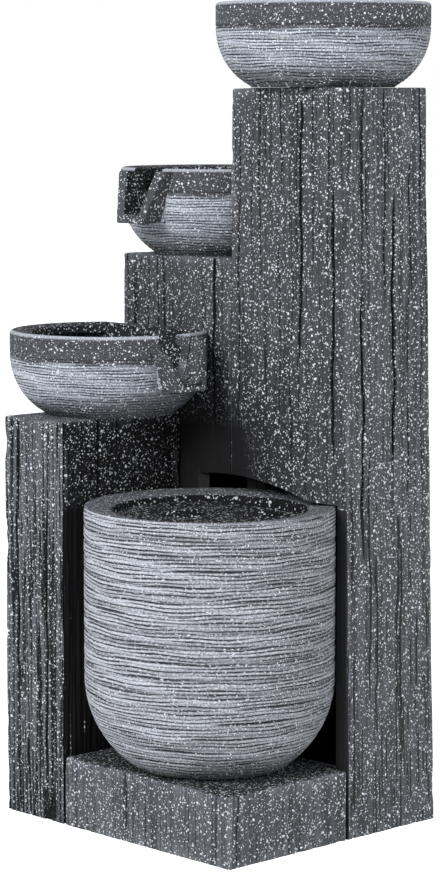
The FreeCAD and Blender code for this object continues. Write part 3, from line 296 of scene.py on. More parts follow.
def carve(piece, texture, cell, depth, group=""):
    """Presses a texture into a piece; cell is the size of its grain along x, y and z."""
    guide = bpy.data.objects.new("carving_guide", None)
    bpy.context.scene.collection.objects.link(guide)
    guide.scale = cell
    bpy.context.view_layer.update()
    before = points(piece)
    modify(piece, "DISPLACE", texture=texture, texture_coords="OBJECT", texture_coords_object=guide,
           strength=depth, mid_level=1.0, vertex_group=group)
    bpy.data.objects.remove(guide)
    note_depth(piece, before)


def press(piece, depth, group):
    """Presses a vertex group straight in."""
    before = points(piece)
    modify(piece, "DISPLACE", strength=-depth, mid_level=0.0, vertex_group=group)
    note_depth(piece, before)


def note_depth(piece, before):
    """Adds what was carved to the piece's depth attribute, for its finish."""
    depths = piece.data.attributes.get("depth") or piece.data.attributes.new("depth", "FLOAT", "POINT")
    carved = np.empty(len(depths.data), np.float32)
    depths.data.foreach_get("value", carved)
    carved += np.linalg.norm(points(piece) - before, axis=1) / DEPTH_UNIT
    depths.data.foreach_set("value", carved)


def group_by(piece, name, weigh):
    """A vertex group with the weight that each vertex is given."""
    group = piece.vertex_groups.new(name=name)
    for vertex in piece.data.vertices:
        weight = weigh(vertex)
        if weight > 0:
            group.add([vertex.index], weight, "REPLACE")


def carve_grain(piece, texture, pitch, run, depth):
    """Carves upright lines into the four sides of a block."""
    carve(piece, texture, (ACROSS, pitch, run), depth, "x_sides")
    carve(piece, texture, (pitch, ACROSS, run), depth, "y_sides")


def main_cracks(side, edge, count, foot):
    """The large cracks of a side: the axis and sign of its normal, then each one's place and size."""
    return [(*side, edge + CRACK["inset"] + number * CRACK["spacing"], foot + number * CRACK["stagger"],
             CRACK["length"], CRACK["half_width"], 1.0) for number in range(count)]


def thin_cracks(side, start, end, foot, top, count, seed):
    """Short, shallow cracks of a side, at places of their own."""
    chance = random.Random(seed)
    inset, length = THIN_CRACK["inset"], THIN_CRACK["length"]
    return [(*side, chance.uniform(start + inset, end - inset), chance.uniform(foot, top - length[0]),
             chance.uniform(*length), chance.uniform(*THIN_CRACK["half_width"]),
             chance.uniform(*THIN_CRACK["strength"])) for number in range(count)]


def crack_weight(vertex, cracks):
    """A crack's strength along its middle, falling to nothing at its sides and ends."""
    weight = 0
    for axis, sign, across, foot, length, half_width, strength in cracks:
        along = (vertex.co.z - foot) / length
        if 0 < along < 1 and sign * vertex.normal[axis] > 0.6:
            waver = 0.0014 * math.sin(31 * vertex.co.z + 90 * across)
            waver += 0.0007 * math.sin(83 * vertex.co.z + 300 * across)
            gap = abs(vertex.co[1 - axis] - across - waver)
            weight = max(weight, strength * (1 - gap / half_width) * min(1, 9 * along, 9 * (1 - along)))
    return weight


# Castings

def column(node, grain, cracks, lean=(0, 0)):
    """A cast shell: a block with worn edges and carved sides, hollow underneath."""
    low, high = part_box(node)
    piece = block(f"{node}_casting", low, high)
    edit(piece)
    foot = low.z + EDGE_ROUND
    pick(piece, "verts", lambda vertex: vertex.co.z > foot and vertex.co.x > low.x + EDGE_ROUND)
    bpy.ops.transform.translate(value=(-lean[0], 0, 0))
    pick(piece, "verts", lambda vertex: vertex.co.z > foot and vertex.co.y < high.y - EDGE_ROUND)
    bpy.ops.transform.translate(value=(0, lean[1], 0))
    pick(piece, "edges", lambda edge: max(vertex.co.z for vertex in edge.verts) > foot)
    bpy.ops.mesh.bevel(offset=EDGE_ROUND, segments=2, affect="EDGES")
    for axis, step in enumerate((GRAIN_STEP, GRAIN_STEP, LEVEL_STEP)):
        refine(piece, axis, step)
    pick(piece, "faces", lambda face: face.normal.z < -0.9)
    bpy.ops.mesh.delete(type="FACE")
    done()
    group_by(piece, "x_sides", lambda vertex: vertex.normal.x ** 2)
    group_by(piece, "y_sides", lambda vertex: vertex.normal.y ** 2)
    group_by(piece, "edges", lambda vertex: nearness_to_edges(vertex.co, low, high))
    carve(piece, WAVES, WAVE["cell"], WAVE["depth"])
    carve(piece, CHIPS, CHIP["cell"], CHIP["depth"], "edges")
    worn = piece.data.attributes.new("worn", "FLOAT", "POINT")
    nearness = [nearness_to_edges(vertex.co, low, high) for vertex in piece.data.vertices]
    worn.data.foreach_set("value", nearness)
    piece.data.attributes.remove(piece.data.attributes["depth"])
    for texture, pitch, run, depth in grain:
        carve_grain(piece, texture, pitch, run, depth)
    group_by(piece, "cracks", lambda vertex: crack_weight(vertex, cracks))
    press(piece, CRACK["depth"], "cracks")
    hollow_out(piece, low, high, lean)
    return piece


def nearness_to_edges(place, low, high):
    """One on an edge between two outer faces, falling to nothing where the wear ends."""
    gaps = sorted(min(at - bottom, top - at) for at, bottom, top in zip(place, low, high))
    return max(0, 1 - gaps[1] / WORN_WIDTH)


def hollow_out(piece, low, high, lean):
    """Levels the open foot, turns it in by the wall and draws the hollow up to under the top."""
    narrow = [1 - lean[0] / (high.x - low.x), 1 - lean[1] / (high.y - low.y), 1]
    middle = (low + high) / 2
    inner = [(size - 2 * SHELL_WALL) / size for size in high - low]
    edit(piece)
    pick(piece, "edges", lambda edge: edge.is_boundary)
    bpy.ops.transform.resize(value=(1, 1, 0), center_override=(middle.x, middle.y, low.z))
    bpy.ops.mesh.extrude_region_move()
    bpy.ops.transform.resize(value=(inner[0], inner[1], 1), center_override=(middle.x, middle.y, low.z))
    rise = high.z - low.z - 2 * SHELL_WALL
    bpy.ops.mesh.extrude_region_move(TRANSFORM_OT_translate={"value": (0, 0, rise)})
    bpy.ops.transform.resize(value=narrow, center_override=(low.x, high.y, high.z))
    bpy.ops.mesh.edge_face_add()
    done()


def pot_pocket():
    """The room that the pot's back takes in the columns, with an arch that is highest where they meet."""
    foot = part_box("plinth_block")[1].z
    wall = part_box("tall_column")[0].x
    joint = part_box("middle_column")[0].y
    radius = (ARCH_HALF ** 2 + ARCH_RISE ** 2) / (2 * ARCH_RISE)
    top = POT_RIM + POT_GAP
    room = bar("pot_room", POT_ROOM, (*POT_CENTRE, (foot + top) / 2), top - foot)
    above = bar("arch_room", POT_ROOM, (*POT_CENTRE, POT_RIM), 4 * ARCH_RISE)
    middle = (wall, joint, POT_RIM + ARCH_RISE - radius)
    combine(above, bar("arch", radius, middle, 3 * POT_ROOM, (0, math.pi / 2, 0), 400), "INTERSECT")
    combine(room, above, "UNION")
    return room


def hatch_opening():
    """The recess for the rear door, the hole behind it and the hole for the cable's gland."""
    low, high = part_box("access_door")
    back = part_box("middle_column")[1].y
    gap, lip = HATCH["gap"], HATCH["lip"]
    tool = block("hatch_recess", (low.x - gap, back - HATCH["depth"], low.z - gap),
                 (high.x + gap, back + SHELL_WALL, high.z + gap))
    hole = block("hatch_hole", (low.x + lip, back - 2 * SHELL_WALL, low.z + lip),
                 (high.x - lip, back + SHELL_WALL, high.z - lip))
    combine(tool, hole, "UNION")
    gland_low, gland_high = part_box("cable_gland")
    middle = (gland_low + gland_high) / 2
    gland = bar("gland_hole", HATCH["gland_radius"], middle, 6 * SHELL_WALL, (math.pi / 2, 0, 0), 48)
    combine(tool, gland, "UNION")
    return tool


def bowl(node):
    """A turned bowl with fine turning lines, its spout, and a flat side where it meets a wall."""
    plan = BOWLS[node]
    low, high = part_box(node)
    centre, radius = plan["centre"], plan["radius"]
    foot, rim = low.z, high.z
    shoulder = rim - BOWL_BAND
    start = (radius - BOWL_UNDERCUT, foot)
    groove = (radius, shoulder + BOWL_GROOVE["width"])
    bed = foot - BOWL_BED
    outline = [(0, foot), (start[0] / 2, foot), (start[0] / 2, bed), (start[0] - CHAMFER, bed), start]
    outline += swell(start, (radius, shoulder), ROW_STEP)
    outline += [(radius - BOWL_GROOVE["depth"], shoulder + BOWL_GROOVE["width"] / 2), groove]
    outline += straight(groove, (radius, rim - BOWL_EDGE), 2 * ROW_STEP)
    outline += [(radius - BOWL_ROUND, rim - BOWL_ROUND), (radius - BOWL_EDGE, rim), (0, rim)]
    piece = turned(f"{node}_casting", centre, outline)
    pitch = BOWL_LINES["pitch"]
    group_by(piece, "wall", lambda vertex: turning_line(vertex, centre, foot, shoulder, pitch))
    press(piece, BOWL_LINES["depth"], "wall")
    combine(piece, spout(plan, rim), "UNION")
    flatten(piece, node)
    inner = radius - BOWL_WALL
    mouth = radius - BOWL_RIM
    floor = (radius - BOWL_UNDERCUT - BOWL_WALL / 2, foot + BOWL_WALL)
    inside = [(0, foot + BOWL_WALL), floor, *swell(floor, (inner, shoulder), 5 * ROW_STEP)]
    inside += [*lip(inner, mouth, rim, BOWL_LIP), (radius - BOWL_EDGE, rim)]
    inside += [(radius - BOWL_EDGE, rim + BOWL_EDGE), (0, rim + BOWL_EDGE)]
    hollow = turned("hollow", centre, inside, 160)
    flatten(hollow, node, BOWL_WALL)
    combine(piece, hollow, "DIFFERENCE")
    combine(piece, place_spout(wedge("channel", plan, rim, True), plan), "DIFFERENCE")
    return piece


def lip(inner, mouth, rim, sizes):
    """Profile points of the inward lip under a rim, from the wall to the mouth."""
    drop = rim - sizes["drop"]
    return [(inner, rim - sizes["root"]), (mouth, rim - sizes["under"]), (mouth, drop),
            (mouth + CHAMFER, drop + CHAMFER)]


def wedge(name, plan, rim, inner):
    """The spout's block, or the channel through it: narrow at the foot and wide at the rim, along +X."""
    radius = plan["radius"]
    cheeks = (SPOUT["cheek_foot"], SPOUT["cheek_top"]) if inner else (0, 0)
    half_foot = SPOUT["width_foot"] / 2 - cheeks[0]
    half_top = SPOUT["width_top"] / 2 - cheeks[1]
    bottom = rim - SPOUT["height"] + (SPOUT["floor"] if inner else 0)
    top = rim + BOWL_EDGE if inner else rim - SPOUT["below_rim"]
    end = radius + (2 * plan["reach"] if inner else plan["reach"])
    back = 0 if inner else plan["reach"] - SPOUT["reach_top"]
    start = radius - (2 * BOWL_RIM if inner else BOWL_RIM - BOWL_EDGE)
    piece = block(name, (start, -half_foot, bottom), (end, half_foot, top))
    edit(piece)
    pick(piece, "verts", lambda vertex: vertex.co.z > (top + bottom) / 2)
    bpy.ops.transform.resize(value=(1, half_top / half_foot, 1), center_override=(0, 0, top))
    pick(piece, "verts", lambda vertex: vertex.co.z > (top + bottom) / 2 and vertex.co.x > radius)
    bpy.ops.transform.translate(value=(-back, 0, 0))
    done()
    return piece


def spout(plan, rim):
    """The trough that stands out of a bowl, rounded by wear; the plan says how far one cheek is worn."""
    piece = wedge("spout", plan, rim, False)
    combine(piece, wedge("channel", plan, rim, True), "DIFFERENCE")
    slope = (plan["reach"] - SPOUT["reach_top"]) / SPOUT["height"]
    edit(piece)
    pick(piece, "verts", lambda vertex: vertex.co.z > rim - 2 * SPOUT["below_rim"] and vertex.co.y < 0
         and vertex.co.x > plan["radius"])
    bpy.ops.transform.translate(value=(slope * plan["worn"], 0, -plan["worn"]))
    done()
    modify(piece, "REMESH", mode="VOXEL", voxel_size=SPOUT_WEAR["voxel"])
    modify(piece, "SMOOTH", factor=0.5, iterations=6 + round(500 * plan["worn"]))
    carve(piece, WEAR, SPOUT_WEAR["cell"], SPOUT_WEAR["depth"] + 0.08 * plan["worn"])
    piece.data.attributes.remove(piece.data.attributes["depth"])
    return place_spout(piece, plan)


def place_spout(piece, plan):
    take(piece)
    piece.rotation_euler.z = math.radians(plan["spout"])
    piece.location = (*plan["centre"], 0)
    bpy.ops.object.transform_apply(location=True, rotation=True)
    return piece


def flatten(piece, node, wall=0):
    """Cuts a bowl flat where it stands against a column's wall."""
    low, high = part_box(node)
    cuts = {"middle_bowl": ((0, low.y + wall, 0), (0, -1, 0)),
            "lower_bowl": ((high.x - wall, 0, 0), (1, 0, 0))}
    if node in cuts:
        edit(piece)
        bpy.ops.mesh.select_all(action="SELECT")
        bpy.ops.mesh.bisect(plane_co=cuts[node][0], plane_no=cuts[node][1], use_fill=True, clear_outer=True)
        done()


def pot():
    """The ribbed pot with its sloping rim."""
    low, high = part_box("reservoir_pot")
    foot, rim = low.z, high.z
    shoulder = foot + POT_SHOULDER
    start = (POT_RADIUS - POT_UNDERCUT, foot)
    outline = [(0, foot), start, *swell(start, (POT_RADIUS, shoulder), ROW_STEP)]
    outline += straight((POT_RADIUS, shoulder), (POT_RADIUS, rim - POT_EDGE), ROW_STEP)
    outline += [(POT_RADIUS - POT_ROUND, rim - POT_ROUND), (POT_RADIUS - POT_EDGE, rim), (0, rim)]
    piece = turned("ribbed_pot", POT_CENTRE, outline, 200)
    top = rim - POT_EDGE - CHAMFER
    pitch = POT_LINES["pitch"]
    group_by(piece, "wall", lambda vertex: turning_line(vertex, POT_CENTRE, foot, top, pitch))
    press(piece, POT_LINES["depth"], "wall")
    group_by(piece, "grooves", lambda vertex: groove_weight(vertex.co.z - foot, rim - foot))
    modify(piece, "DISPLACE", strength=-GROOVE["depth"], mid_level=0.0, vertex_group="grooves")
    inner = POT_RADIUS - POT_WALL
    mouth = POT_RADIUS - POT_MOUTH
    floor = (POT_RADIUS - POT_UNDERCUT - POT_WALL / 2, foot + POT_WALL)
    inside = [(0, foot + POT_WALL), floor, *swell(floor, (inner, shoulder), 6 * ROW_STEP)]
    inside += [*lip(inner, mouth, rim, POT_LIP), (POT_RADIUS - POT_EDGE, rim)]
    inside += [(POT_RADIUS - POT_EDGE, rim + POT_EDGE), (0, rim + POT_EDGE)]
    combine(piece, turned("hollow", POT_CENTRE, inside, 160), "DIFFERENCE")
    return piece


def turning_line(vertex, centre, foot, top, pitch):
    """One in the middle of a fine turning line, which wavers and fades on its way round."""
    height = vertex.co.z - foot
    if not 2 * CHAMFER < height < top - foot:
        return 0
    turn = math.atan2(vertex.co.y - centre.y, vertex.co.x - centre.x)
    waver = 1.5 * math.sin(3 * turn + 45 * height) + 1.1 * math.sin(7 * turn - 90 * height + 1)
    waver += 0.7 * math.sin(13 * turn + 160 * height + 2)
    faded = 0.62 + 0.38 * math.sin(5 * turn + 430 * height) * math.sin(2 * turn - 210 * height)
    return faded * math.cos(math.tau * height / pitch + waver)


def groove_weight(height, rim):
    """One in the middle of a main groove of the pot, falling to nothing at its sides."""
    number = round((height - GROOVE["start"]) / GROOVE["pitch"])
    gap = abs(height - GROOVE["start"] - number * GROOVE["pitch"])
    if number < 0 or height > rim - GROOVE["half_width"]:
        return 0
    return 1 - gap / GROOVE["half_width"]


# Finishes

class Finish:
    """A material whose nodes feed one Principled shader."""

    def __init__(self, name, **constants):
        self.material = bpy.data.materials.new(name)
        self.material.use_nodes = True
        self.tree = self.material.node_tree
        self.surface = self.tree.nodes["Principled BSDF"]
        for socket, setting in constants.items():
            self.surface.inputs[socket.replace("_", " ")].default_value = setting
        self.place = self.node("ShaderNodeTexCoord").outputs["Object"]

    def node(self, kind, feeds=None, **settings):
        made = self.tree.nodes.new(kind)
        for name, setting in settings.items():
            setattr(made, name, setting)
        for socket, source in (feeds or {}).items():
            if isinstance(source, bpy.types.NodeSocket):
                self.tree.links.new(source, made.inputs[socket])
            else:
                made.inputs[socket].default_value = source
        return made

    def feed(self, socket, source):
        self.tree.links.new(source, self.surface.inputs[socket])

    def attribute(self, name):
        return self.node("ShaderNodeAttribute", attribute_name=name).outputs["Fac"]

    def math(self, operation, first, second=0.0):
        return self.node("ShaderNodeMath", {0: first, 1: second}, operation=operation).outputs[0]

    def times(self, *factors):
        result = factors[0]
        for factor in factors[1:]:
            result = self.math("MULTIPLY", result, factor)
        return result

    def noise(self, scale, detail=2.0, stretch=(1, 1, 1), roughness=0.5):
        place = self.node("ShaderNodeMapping", {"Vector": self.place, "Scale": stretch}).outputs[0]
        return self.node("ShaderNodeTexNoise", {"Vector": place, "Scale": scale, "Detail": detail,
                                                "Roughness": roughness}).outputs["Fac"]

    def span(self, source, low, high, start=0.0, end=1.0):
        """Maps the stretch from low to high onto start to end, and clips it there."""
        return self.node("ShaderNodeMapRange", {"Value": source, "From Min": low, "From Max": high,
                                                "To Min": start, "To Max": end}).outputs[0]

    def mix(self, share, first, second):
        made = self.node("ShaderNodeMix", {"Factor": share}, data_type="RGBA")
        for socket, source in ((6, first), (7, second)):
            if isinstance(source, bpy.types.NodeSocket):
                self.tree.links.new(source, made.inputs[socket])
            else:
                made.inputs[socket].default_value = (*source, 1)
        return made.outputs[2]

    def flecks(self, cell, present, largest):
        """White flecks: one in a share of the cells, each with a size of its own and a ragged edge."""
        ragged = self.node("ShaderNodeTexNoise", {"Vector": self.place, "Scale": 1.3 / cell, "Detail": 2.0})
        shift = self.node("ShaderNodeVectorMath", {0: ragged.outputs["Color"], 1: (0.5, 0.5, 0.5)},
                          operation="SUBTRACT").outputs[0]
        shift = self.node("ShaderNodeVectorMath", {0: shift, "Scale": 0.7 * cell},
                          operation="SCALE").outputs[0]
        place = self.node("ShaderNodeVectorMath", {0: self.place, 1: shift}, operation="ADD").outputs[0]
        cells = self.node("ShaderNodeTexVoronoi", {"Vector": place, "Scale": 1 / cell})
        chance = self.node("ShaderNodeTexWhiteNoise", {"Vector": cells.outputs["Color"]}).outputs["Value"]
        size = self.span(chance, 1 - present, 1, 0.0, largest)
        inside = self.math("SUBTRACT", size, cells.outputs["Distance"])
        return self.span(inside, 0.0, 0.10)

    def bump(self, height, distance):
        made = self.node("ShaderNodeBump", {"Height": height, "Distance": distance})
        self.feed("Normal", made.outputs[0])


def shade(colour, factor):
    return [part * factor for part in colour]


WHITE = (0.80, 0.84, 0.90)
CHARCOAL = (0.066, 0.070, 0.080)
# Near black: the paint of the tray and the pot's inside, the inside of the shells, and the painted shade
# over and beside the pot.
BLACK_PAINT_AND_SHADE = (0.010, 0.010, 0.011)
WORN_STONE = (0.30, 0.32, 0.36)
BOWL_DARK, BOWL_PALE = (0.060, 0.064, 0.073), (0.58, 0.63, 0.72)
POT_DARK, POT_PALE = (0.085, 0.090, 0.100), (0.56, 0.59, 0.66)
# Way towards the key lamp: bowls and pot are painted paler on this side and darker on the far side, which
# is painted light and shade.
LIGHT_SIDE = (-0.72, 0.69, 0)
# Height and depth over which the painted shade in the corner over the pot fades out.
CORNER_SHADE_HEIGHT = (0.48, 0.61)
CORNER_SHADE_DEPTH = (-0.18, -0.015)
# Where the niche's painted shade fades out above the pot, and where it starts on the short column and on
# the strip beside the pot.
NICHE_SHADE_FADE = (0.385, 0.425)
NICHE_SHADE_EDGE = -0.173
SHADED_STRIP_EDGE = -0.165
FLECKS = ((0.0025, 0.90, 0.50), (0.0052, 0.45, 0.40))


def speckled(name, dark=CHARCOAL, layers=FLECKS, white=1.0, shown=None):
    """Cast stone with white flecks, dark carved lines and pale worn edges; shown gives what isn't black
    with painted shade.
    """
    finish = Finish(name, Roughness=0.85, Specular_IOR_Level=0.15)
    depth = finish.attribute("depth")
    grit = finish.noise(800, 2)
    grain = finish.noise(1, 3, (300, 300, 6))
    cloud = finish.noise(22, 3)
    base = finish.mix(finish.span(grit, 0.34, 0.66), shade(dark, 0.45), shade(dark, 1.45))
    base = finish.mix(finish.span(grain, 0.52, 0.70, 0.0, 0.75), base, shade(dark, 0.30))
    base = finish.mix(finish.span(cloud, 0.35, 0.75, 0.0, 0.45), base, shade(dark, 1.35))
    worn = finish.times(finish.attribute("worn"), finish.span(cloud, 0.35, 0.6), 0.30)
    base = finish.mix(worn, base, WORN_STONE)
    base = finish.mix(finish.span(depth, 0.06, 0.36), base, shade(dark, 0.08))
    flecks = finish.flecks(*layers[0])
    for layer in layers[1:]:
        flecks = finish.math("MAXIMUM", flecks, finish.flecks(*layer))
    painted = finish.times(flecks, finish.span(depth, 0.20, 0.60, 1.0, 0.10))
    pale = finish.mix(finish.span(grit, 0.35, 0.65), shade(WHITE, 0.75 * white), shade(WHITE, 1.08 * white))
    # Painted shade: black where shown gives nothing, with the flecks fading out there.
    if shown:
        unshaded = shown(finish)
        base = finish.mix(unshaded, BLACK_PAINT_AND_SHADE, base)
        painted = finish.times(painted, finish.span(unshaded, 0.04, 0.40))
    finish.feed("Base Color", finish.mix(painted, base, pale))
    finish.bump(finish.math("ADD", finish.times(grit, 0.6), flecks), 0.0005)
    return finish.material


def out_of_corner_shade(finish):
    """Painted shade in the corner over the pot: nothing deep in the corner, where it is black, and one on
    the open faces above and in front of it.
    """
    axes = finish.node("ShaderNodeSeparateXYZ", {"Vector": finish.place}).outputs
    low = finish.span(axes["Z"], *CORNER_SHADE_HEIGHT, 1.0, 0.0)
    deep = finish.span(axes["Y"], *CORNER_SHADE_DEPTH, 0.0, 1.0)
    return finish.math("SUBTRACT", 1.0, finish.times(low, deep, 0.98))


def out_of_shade_above_pot(finish):
    """Painted shade beside the pot: nothing there, where it is black, and one above its rim."""
    height = finish.node("ShaderNodeSeparateXYZ", {"Vector": finish.place}).outputs["Z"]
    return finish.span(height, *NICHE_SHADE_FADE)


def brushed_with_painted_light(name, dark, pale, foot, band, rim, lines, centre, flecks=(0.0036, 0.70, 0.42)):
    """Cast stone with pale brushing on its ridges between the foot and the speckled band under the rim,
    with painted light: paler towards the lamp, a painted contact shadow at the foot and a painted highlight
    round the rim's edge.
    """
    finish = Finish(name, Roughness=0.80, Specular_IOR_Level=0.15)
    depth = finish.attribute("depth")
    height = finish.node("ShaderNodeSeparateXYZ", {"Vector": finish.place}).outputs["Z"]
    threads = finish.noise(1, 2, (3, 3, 430), 0.6)
    streaks = finish.noise(1, 4, (9, 9, 110), 0.6)
    # Painted light and shade: paler towards the lamp, darker on the far side, in the tall column's shade.
    across = finish.node("ShaderNodeVectorMath", {0: finish.place, 1: LIGHT_SIDE},
                         operation="DOT_PRODUCT").outputs["Value"]
    middle = centre.dot(Vector(LIGHT_SIDE).xy)
    patches = finish.noise(18, 3)
    fine = finish.noise(560, 2)
    ridge = finish.span(depth, *lines, 1.0, 0.0)
    uneven = finish.math("ADD", height, finish.span(patches, 0.2, 0.8, -0.006, 0.006))
    brush_and_painted_light = finish.times(ridge, finish.span(threads, 0.40, 0.60, 0.55, 1.15),
                         finish.span(across, middle - 0.13, middle + 0.13, 0.46, 1.10),
                         finish.span(streaks, 0.32, 0.58, 0.88, 1.04),
                         finish.span(patches, 0.25, 0.6, 0.84, 1.05),
                         finish.span(fine, 0.32, 0.64, 0.35, 1.35),
                         # Painted contact shadow: darker towards the foot.
                         finish.span(height, foot, foot + 0.035, 0.06, 1.0),
                         finish.span(uneven, band, band - 0.007, 0.05, 1.0))
    base = finish.mix(ridge, shade(dark, 0.25), dark)
    base = finish.mix(finish.span(fine, 0.38, 0.60), shade(dark, 0.45), base)
    colour = finish.mix(brush_and_painted_light, base, pale)
    # Painted highlight: a pale line round the rim's outer edge.
    edge = finish.times(finish.span(height, rim - 0.0045, rim - 0.0020),
                        finish.span(fine, 0.3, 0.6, 0.4, 0.9))
    colour = finish.mix(edge, colour, shade(pale, 0.9))
    faint = finish.times(finish.flecks(0.0021, 0.7, 0.44), 0.8)
    spots = finish.math("MAXIMUM", finish.flecks(*flecks), faint)
    finish.feed("Base Color", finish.mix(finish.times(spots, 0.95), colour, WHITE))
    finish.bump(finish.math("ADD", fine, spots), 0.0004)
    return finish.material


def plain(name, colour, worn, roughness, metallic=0.0):
    """A moulded or metal surface with faint marks."""
    finish = Finish(name, Metallic=metallic)
    marks = finish.noise(60, 5, (1, 1, 1), 0.6)
    finish.feed("Base Color", finish.mix(finish.span(marks, 0.35, 0.7), colour, worn))
    finish.feed("Roughness", finish.span(marks, 0.2, 0.8, roughness - 0.1, roughness + 0.1))
    finish.bump(finish.noise(900, 2), 0.0001)
    return finish.material


def dress(piece, node, slot, *finishes):
    """Gives a new piece its finishes, the first one all over, and lets it stand for its CAD node."""
    take(piece)
    bpy.ops.object.shade_smooth_by_angle(angle=math.radians(45))
    piece.data.materials.clear()
    edit(piece)
    for number, (material, wanted) in enumerate(finishes):
        piece.data.materials.append(material)
        pick(piece, "faces", wanted)
        piece.active_material_index = number
        bpy.ops.object.material_slot_assign()
    done()
    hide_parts(node)
    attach(piece, "base")


def anywhere(face):
    return True


def in_pocket(face):
    """A face of the pocket's round wall, under its arch, or of the strip of wall beside the pot; these get
    black painted shade.
    """
    middle = face.calc_center_median()
    gap = (middle.xy - POT_CENTRE).length - POT_ROOM
    beside = faces_left(face) and middle.z < POT_RIM and middle.y < SHADED_STRIP_EDGE
    inside = abs(gap) < 0.0006 or gap < 0 and face.normal.z < -0.3
    return beside or inside and middle.z < POT_RIM + ARCH_RISE


def in_pot(face):
    """A face of the pot's inner wall or floor, below its rim."""
    offset = face.calc_center_median().xy - POT_CENTRE
    under_rim = offset.length < POT_RADIUS - POT_MOUTH + CHAMFER / 2 and face.normal.z > 0.5
    return under_rim or face.normal.z < 0.5 and offset.dot(face.normal.xy) < -0.01


def faces_left(face):
    return face.normal.x < -0.3


def inside_shell(node):
    """The test for the faces that look into a column's hollow."""
    low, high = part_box(node)
    axle = (low + high) / 2
    wall = 0.6 * SHELL_WALL

    def test(face):
        middle = face.calc_center_median()
        within = all(low[axis] + wall < middle[axis] < high[axis] - wall for axis in (0, 1))
        turned_in = (middle - axle).xy.dot(face.normal.xy) < -0.0001 or face.normal.z < -0.5
        return within and turned_in and middle.z < high.z - 1.5 * SHELL_WALL

    return test


# The object

COLUMN_GRAIN = [(FINE_GRAIN, 0.0055, 0.55, 0.0007)]
SHORT_GRAIN = [(FINE_GRAIN, 0.0065, 0.30, 0.0014), (CRACKS, 0.018, 0.90, 0.0026),
               (SPLITS, 0.010, 0.35, 0.0016)]
LEFT, RIGHT, FRONT, BACK = (0, -1), (0, 1), (1, -1), (1, 1)
CRACKED_SIDES = {
    "tall_column": [
        {"side": LEFT, "span": (-0.201, 0.003), "main": (2, 0.454), "thin": (0.44, 0.90, 24, 1)},
        {"side": FRONT, "span": (0.022, 0.176), "main": (2, 0.330), "thin": (0.0, 0.90, 26, 2)},
        {"side": RIGHT, "span": (-0.201, 0.003), "main": (3, 0.220), "thin": (0.0, 0.90, 24, 3)},
        {"side": BACK, "span": (0.022, 0.176), "thin": (0.69, 0.90, 6, 4)}],
    "middle_column": [
        {"side": LEFT, "span": (0.004, 0.201), "main": (1, 0.454), "thin": (0.46, 0.69, 8, 5)},
        {"side": RIGHT, "span": (0.004, 0.201), "main": (3, 0.060), "thin": (0.0, 0.69, 14, 6)},
        {"side": BACK, "span": (0.022, 0.176), "main": (2, 0.240), "thin": (0.0, 0.69, 12, 7)}],
    "short_column": [
        {"side": LEFT, "span": (0.093, 0.201), "main": (2, 0.060)},
        {"side": BACK, "span": (-0.176, 0.021), "main": (3, 0.060)}],
    "plinth_block": [
        {"side": LEFT, "span": (-0.201, 0.090), "thin": (-0.2, 0.085, 9, 8)},
        {"side": FRONT, "span": (-0.176, 0.019), "thin": (-0.2, 0.085, 7, 9)}],
}


def cracks_of(node):
    """All cracks of a column: main ones by count and foot, thin ones by foot, top, count and seed."""
    cracks = []
    for plan in CRACKED_SIDES[node]:
        if "main" in plan:
            cracks += main_cracks(plan["side"], plan["span"][0], *plan["main"])
        if "thin" in plan:
            cracks += thin_cracks(plan["side"], *plan["span"], *plan["thin"])
    return cracks


def dress_bowl(node):
    """Brushed outside, darker in the basin, painted shade in the spout's channel, speckled on the spout."""
    plan = BOWLS[node]
    low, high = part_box(node)
    way = math.radians(plan["spout"])
    ahead = Vector((math.cos(way), math.sin(way)))
    half_foot = SPOUT["width_foot"] / 2 - SPOUT["cheek_foot"]
    half_top = SPOUT["width_top"] / 2 - SPOUT["cheek_top"]

    def in_basin(face):
        middle = face.calc_center_median()
        offset = middle.xy - plan["centre"]
        inner = offset.length < plan["radius"] - BOWL_EDGE - CHAMFER / 2 and middle.z > low.z + 0.012
        return inner and offset.normalized().dot(face.normal.xy) < 0.3

    def on_spout(face):
        offset = face.calc_center_median().xy - plan["centre"]
        return offset.length > plan["radius"] + 0.0004 and offset.dot(ahead) > 0

    # Channel faces that don't look toward the lamp; they get painted shade.
    def in_channel(face):
        middle = face.calc_center_median()
        offset = middle.xy - plan["centre"]
        rise = (middle.z - high.z + SPOUT["height"]) / SPOUT["height"]
        half = half_foot + rise * (half_top - half_foot) + 0.0015
        along = offset.dot(ahead) > plan["radius"] - 2 * BOWL_RIM and abs(offset.cross(ahead)) < half
        return along and rise > 0.1 and middle.z < high.z - CHAMFER and face.normal.x > -0.3

    bowl_stone = brushed_with_painted_light(f"{node}_stone", BOWL_DARK, BOWL_PALE, low.z, high.z - BOWL_BAND, high.z,
                         (0.03, 0.15), plan["centre"])
    dress(bowl(node), node, "bowl_stone", (bowl_stone, anywhere), (dark_and_painted_shade_speckle, in_basin),
          (spout_speckle, on_spout), (dark_and_painted_shade_speckle, in_channel))


# One speckled stone in lighter and darker copies, given to faces by the way they look: painted light and
# shade. The darker copy also holds the painted shade in the corner over the pot.
painted_light_speckle = speckled("painted_light_speckle", shade(CHARCOAL, 1.40))
left_painted_light_speckle = speckled("left_painted_light_speckle", shade(CHARCOAL, 1.65))
painted_shade_speckle = speckled("painted_shade_speckle", shown=out_of_corner_shade)
# Painted light: a lighter copy for the pot's top faces, which lie in the columns' shadow.
rim_painted_light_speckle = speckled("rim_painted_light_speckle", shade(CHARCOAL, 1.6))
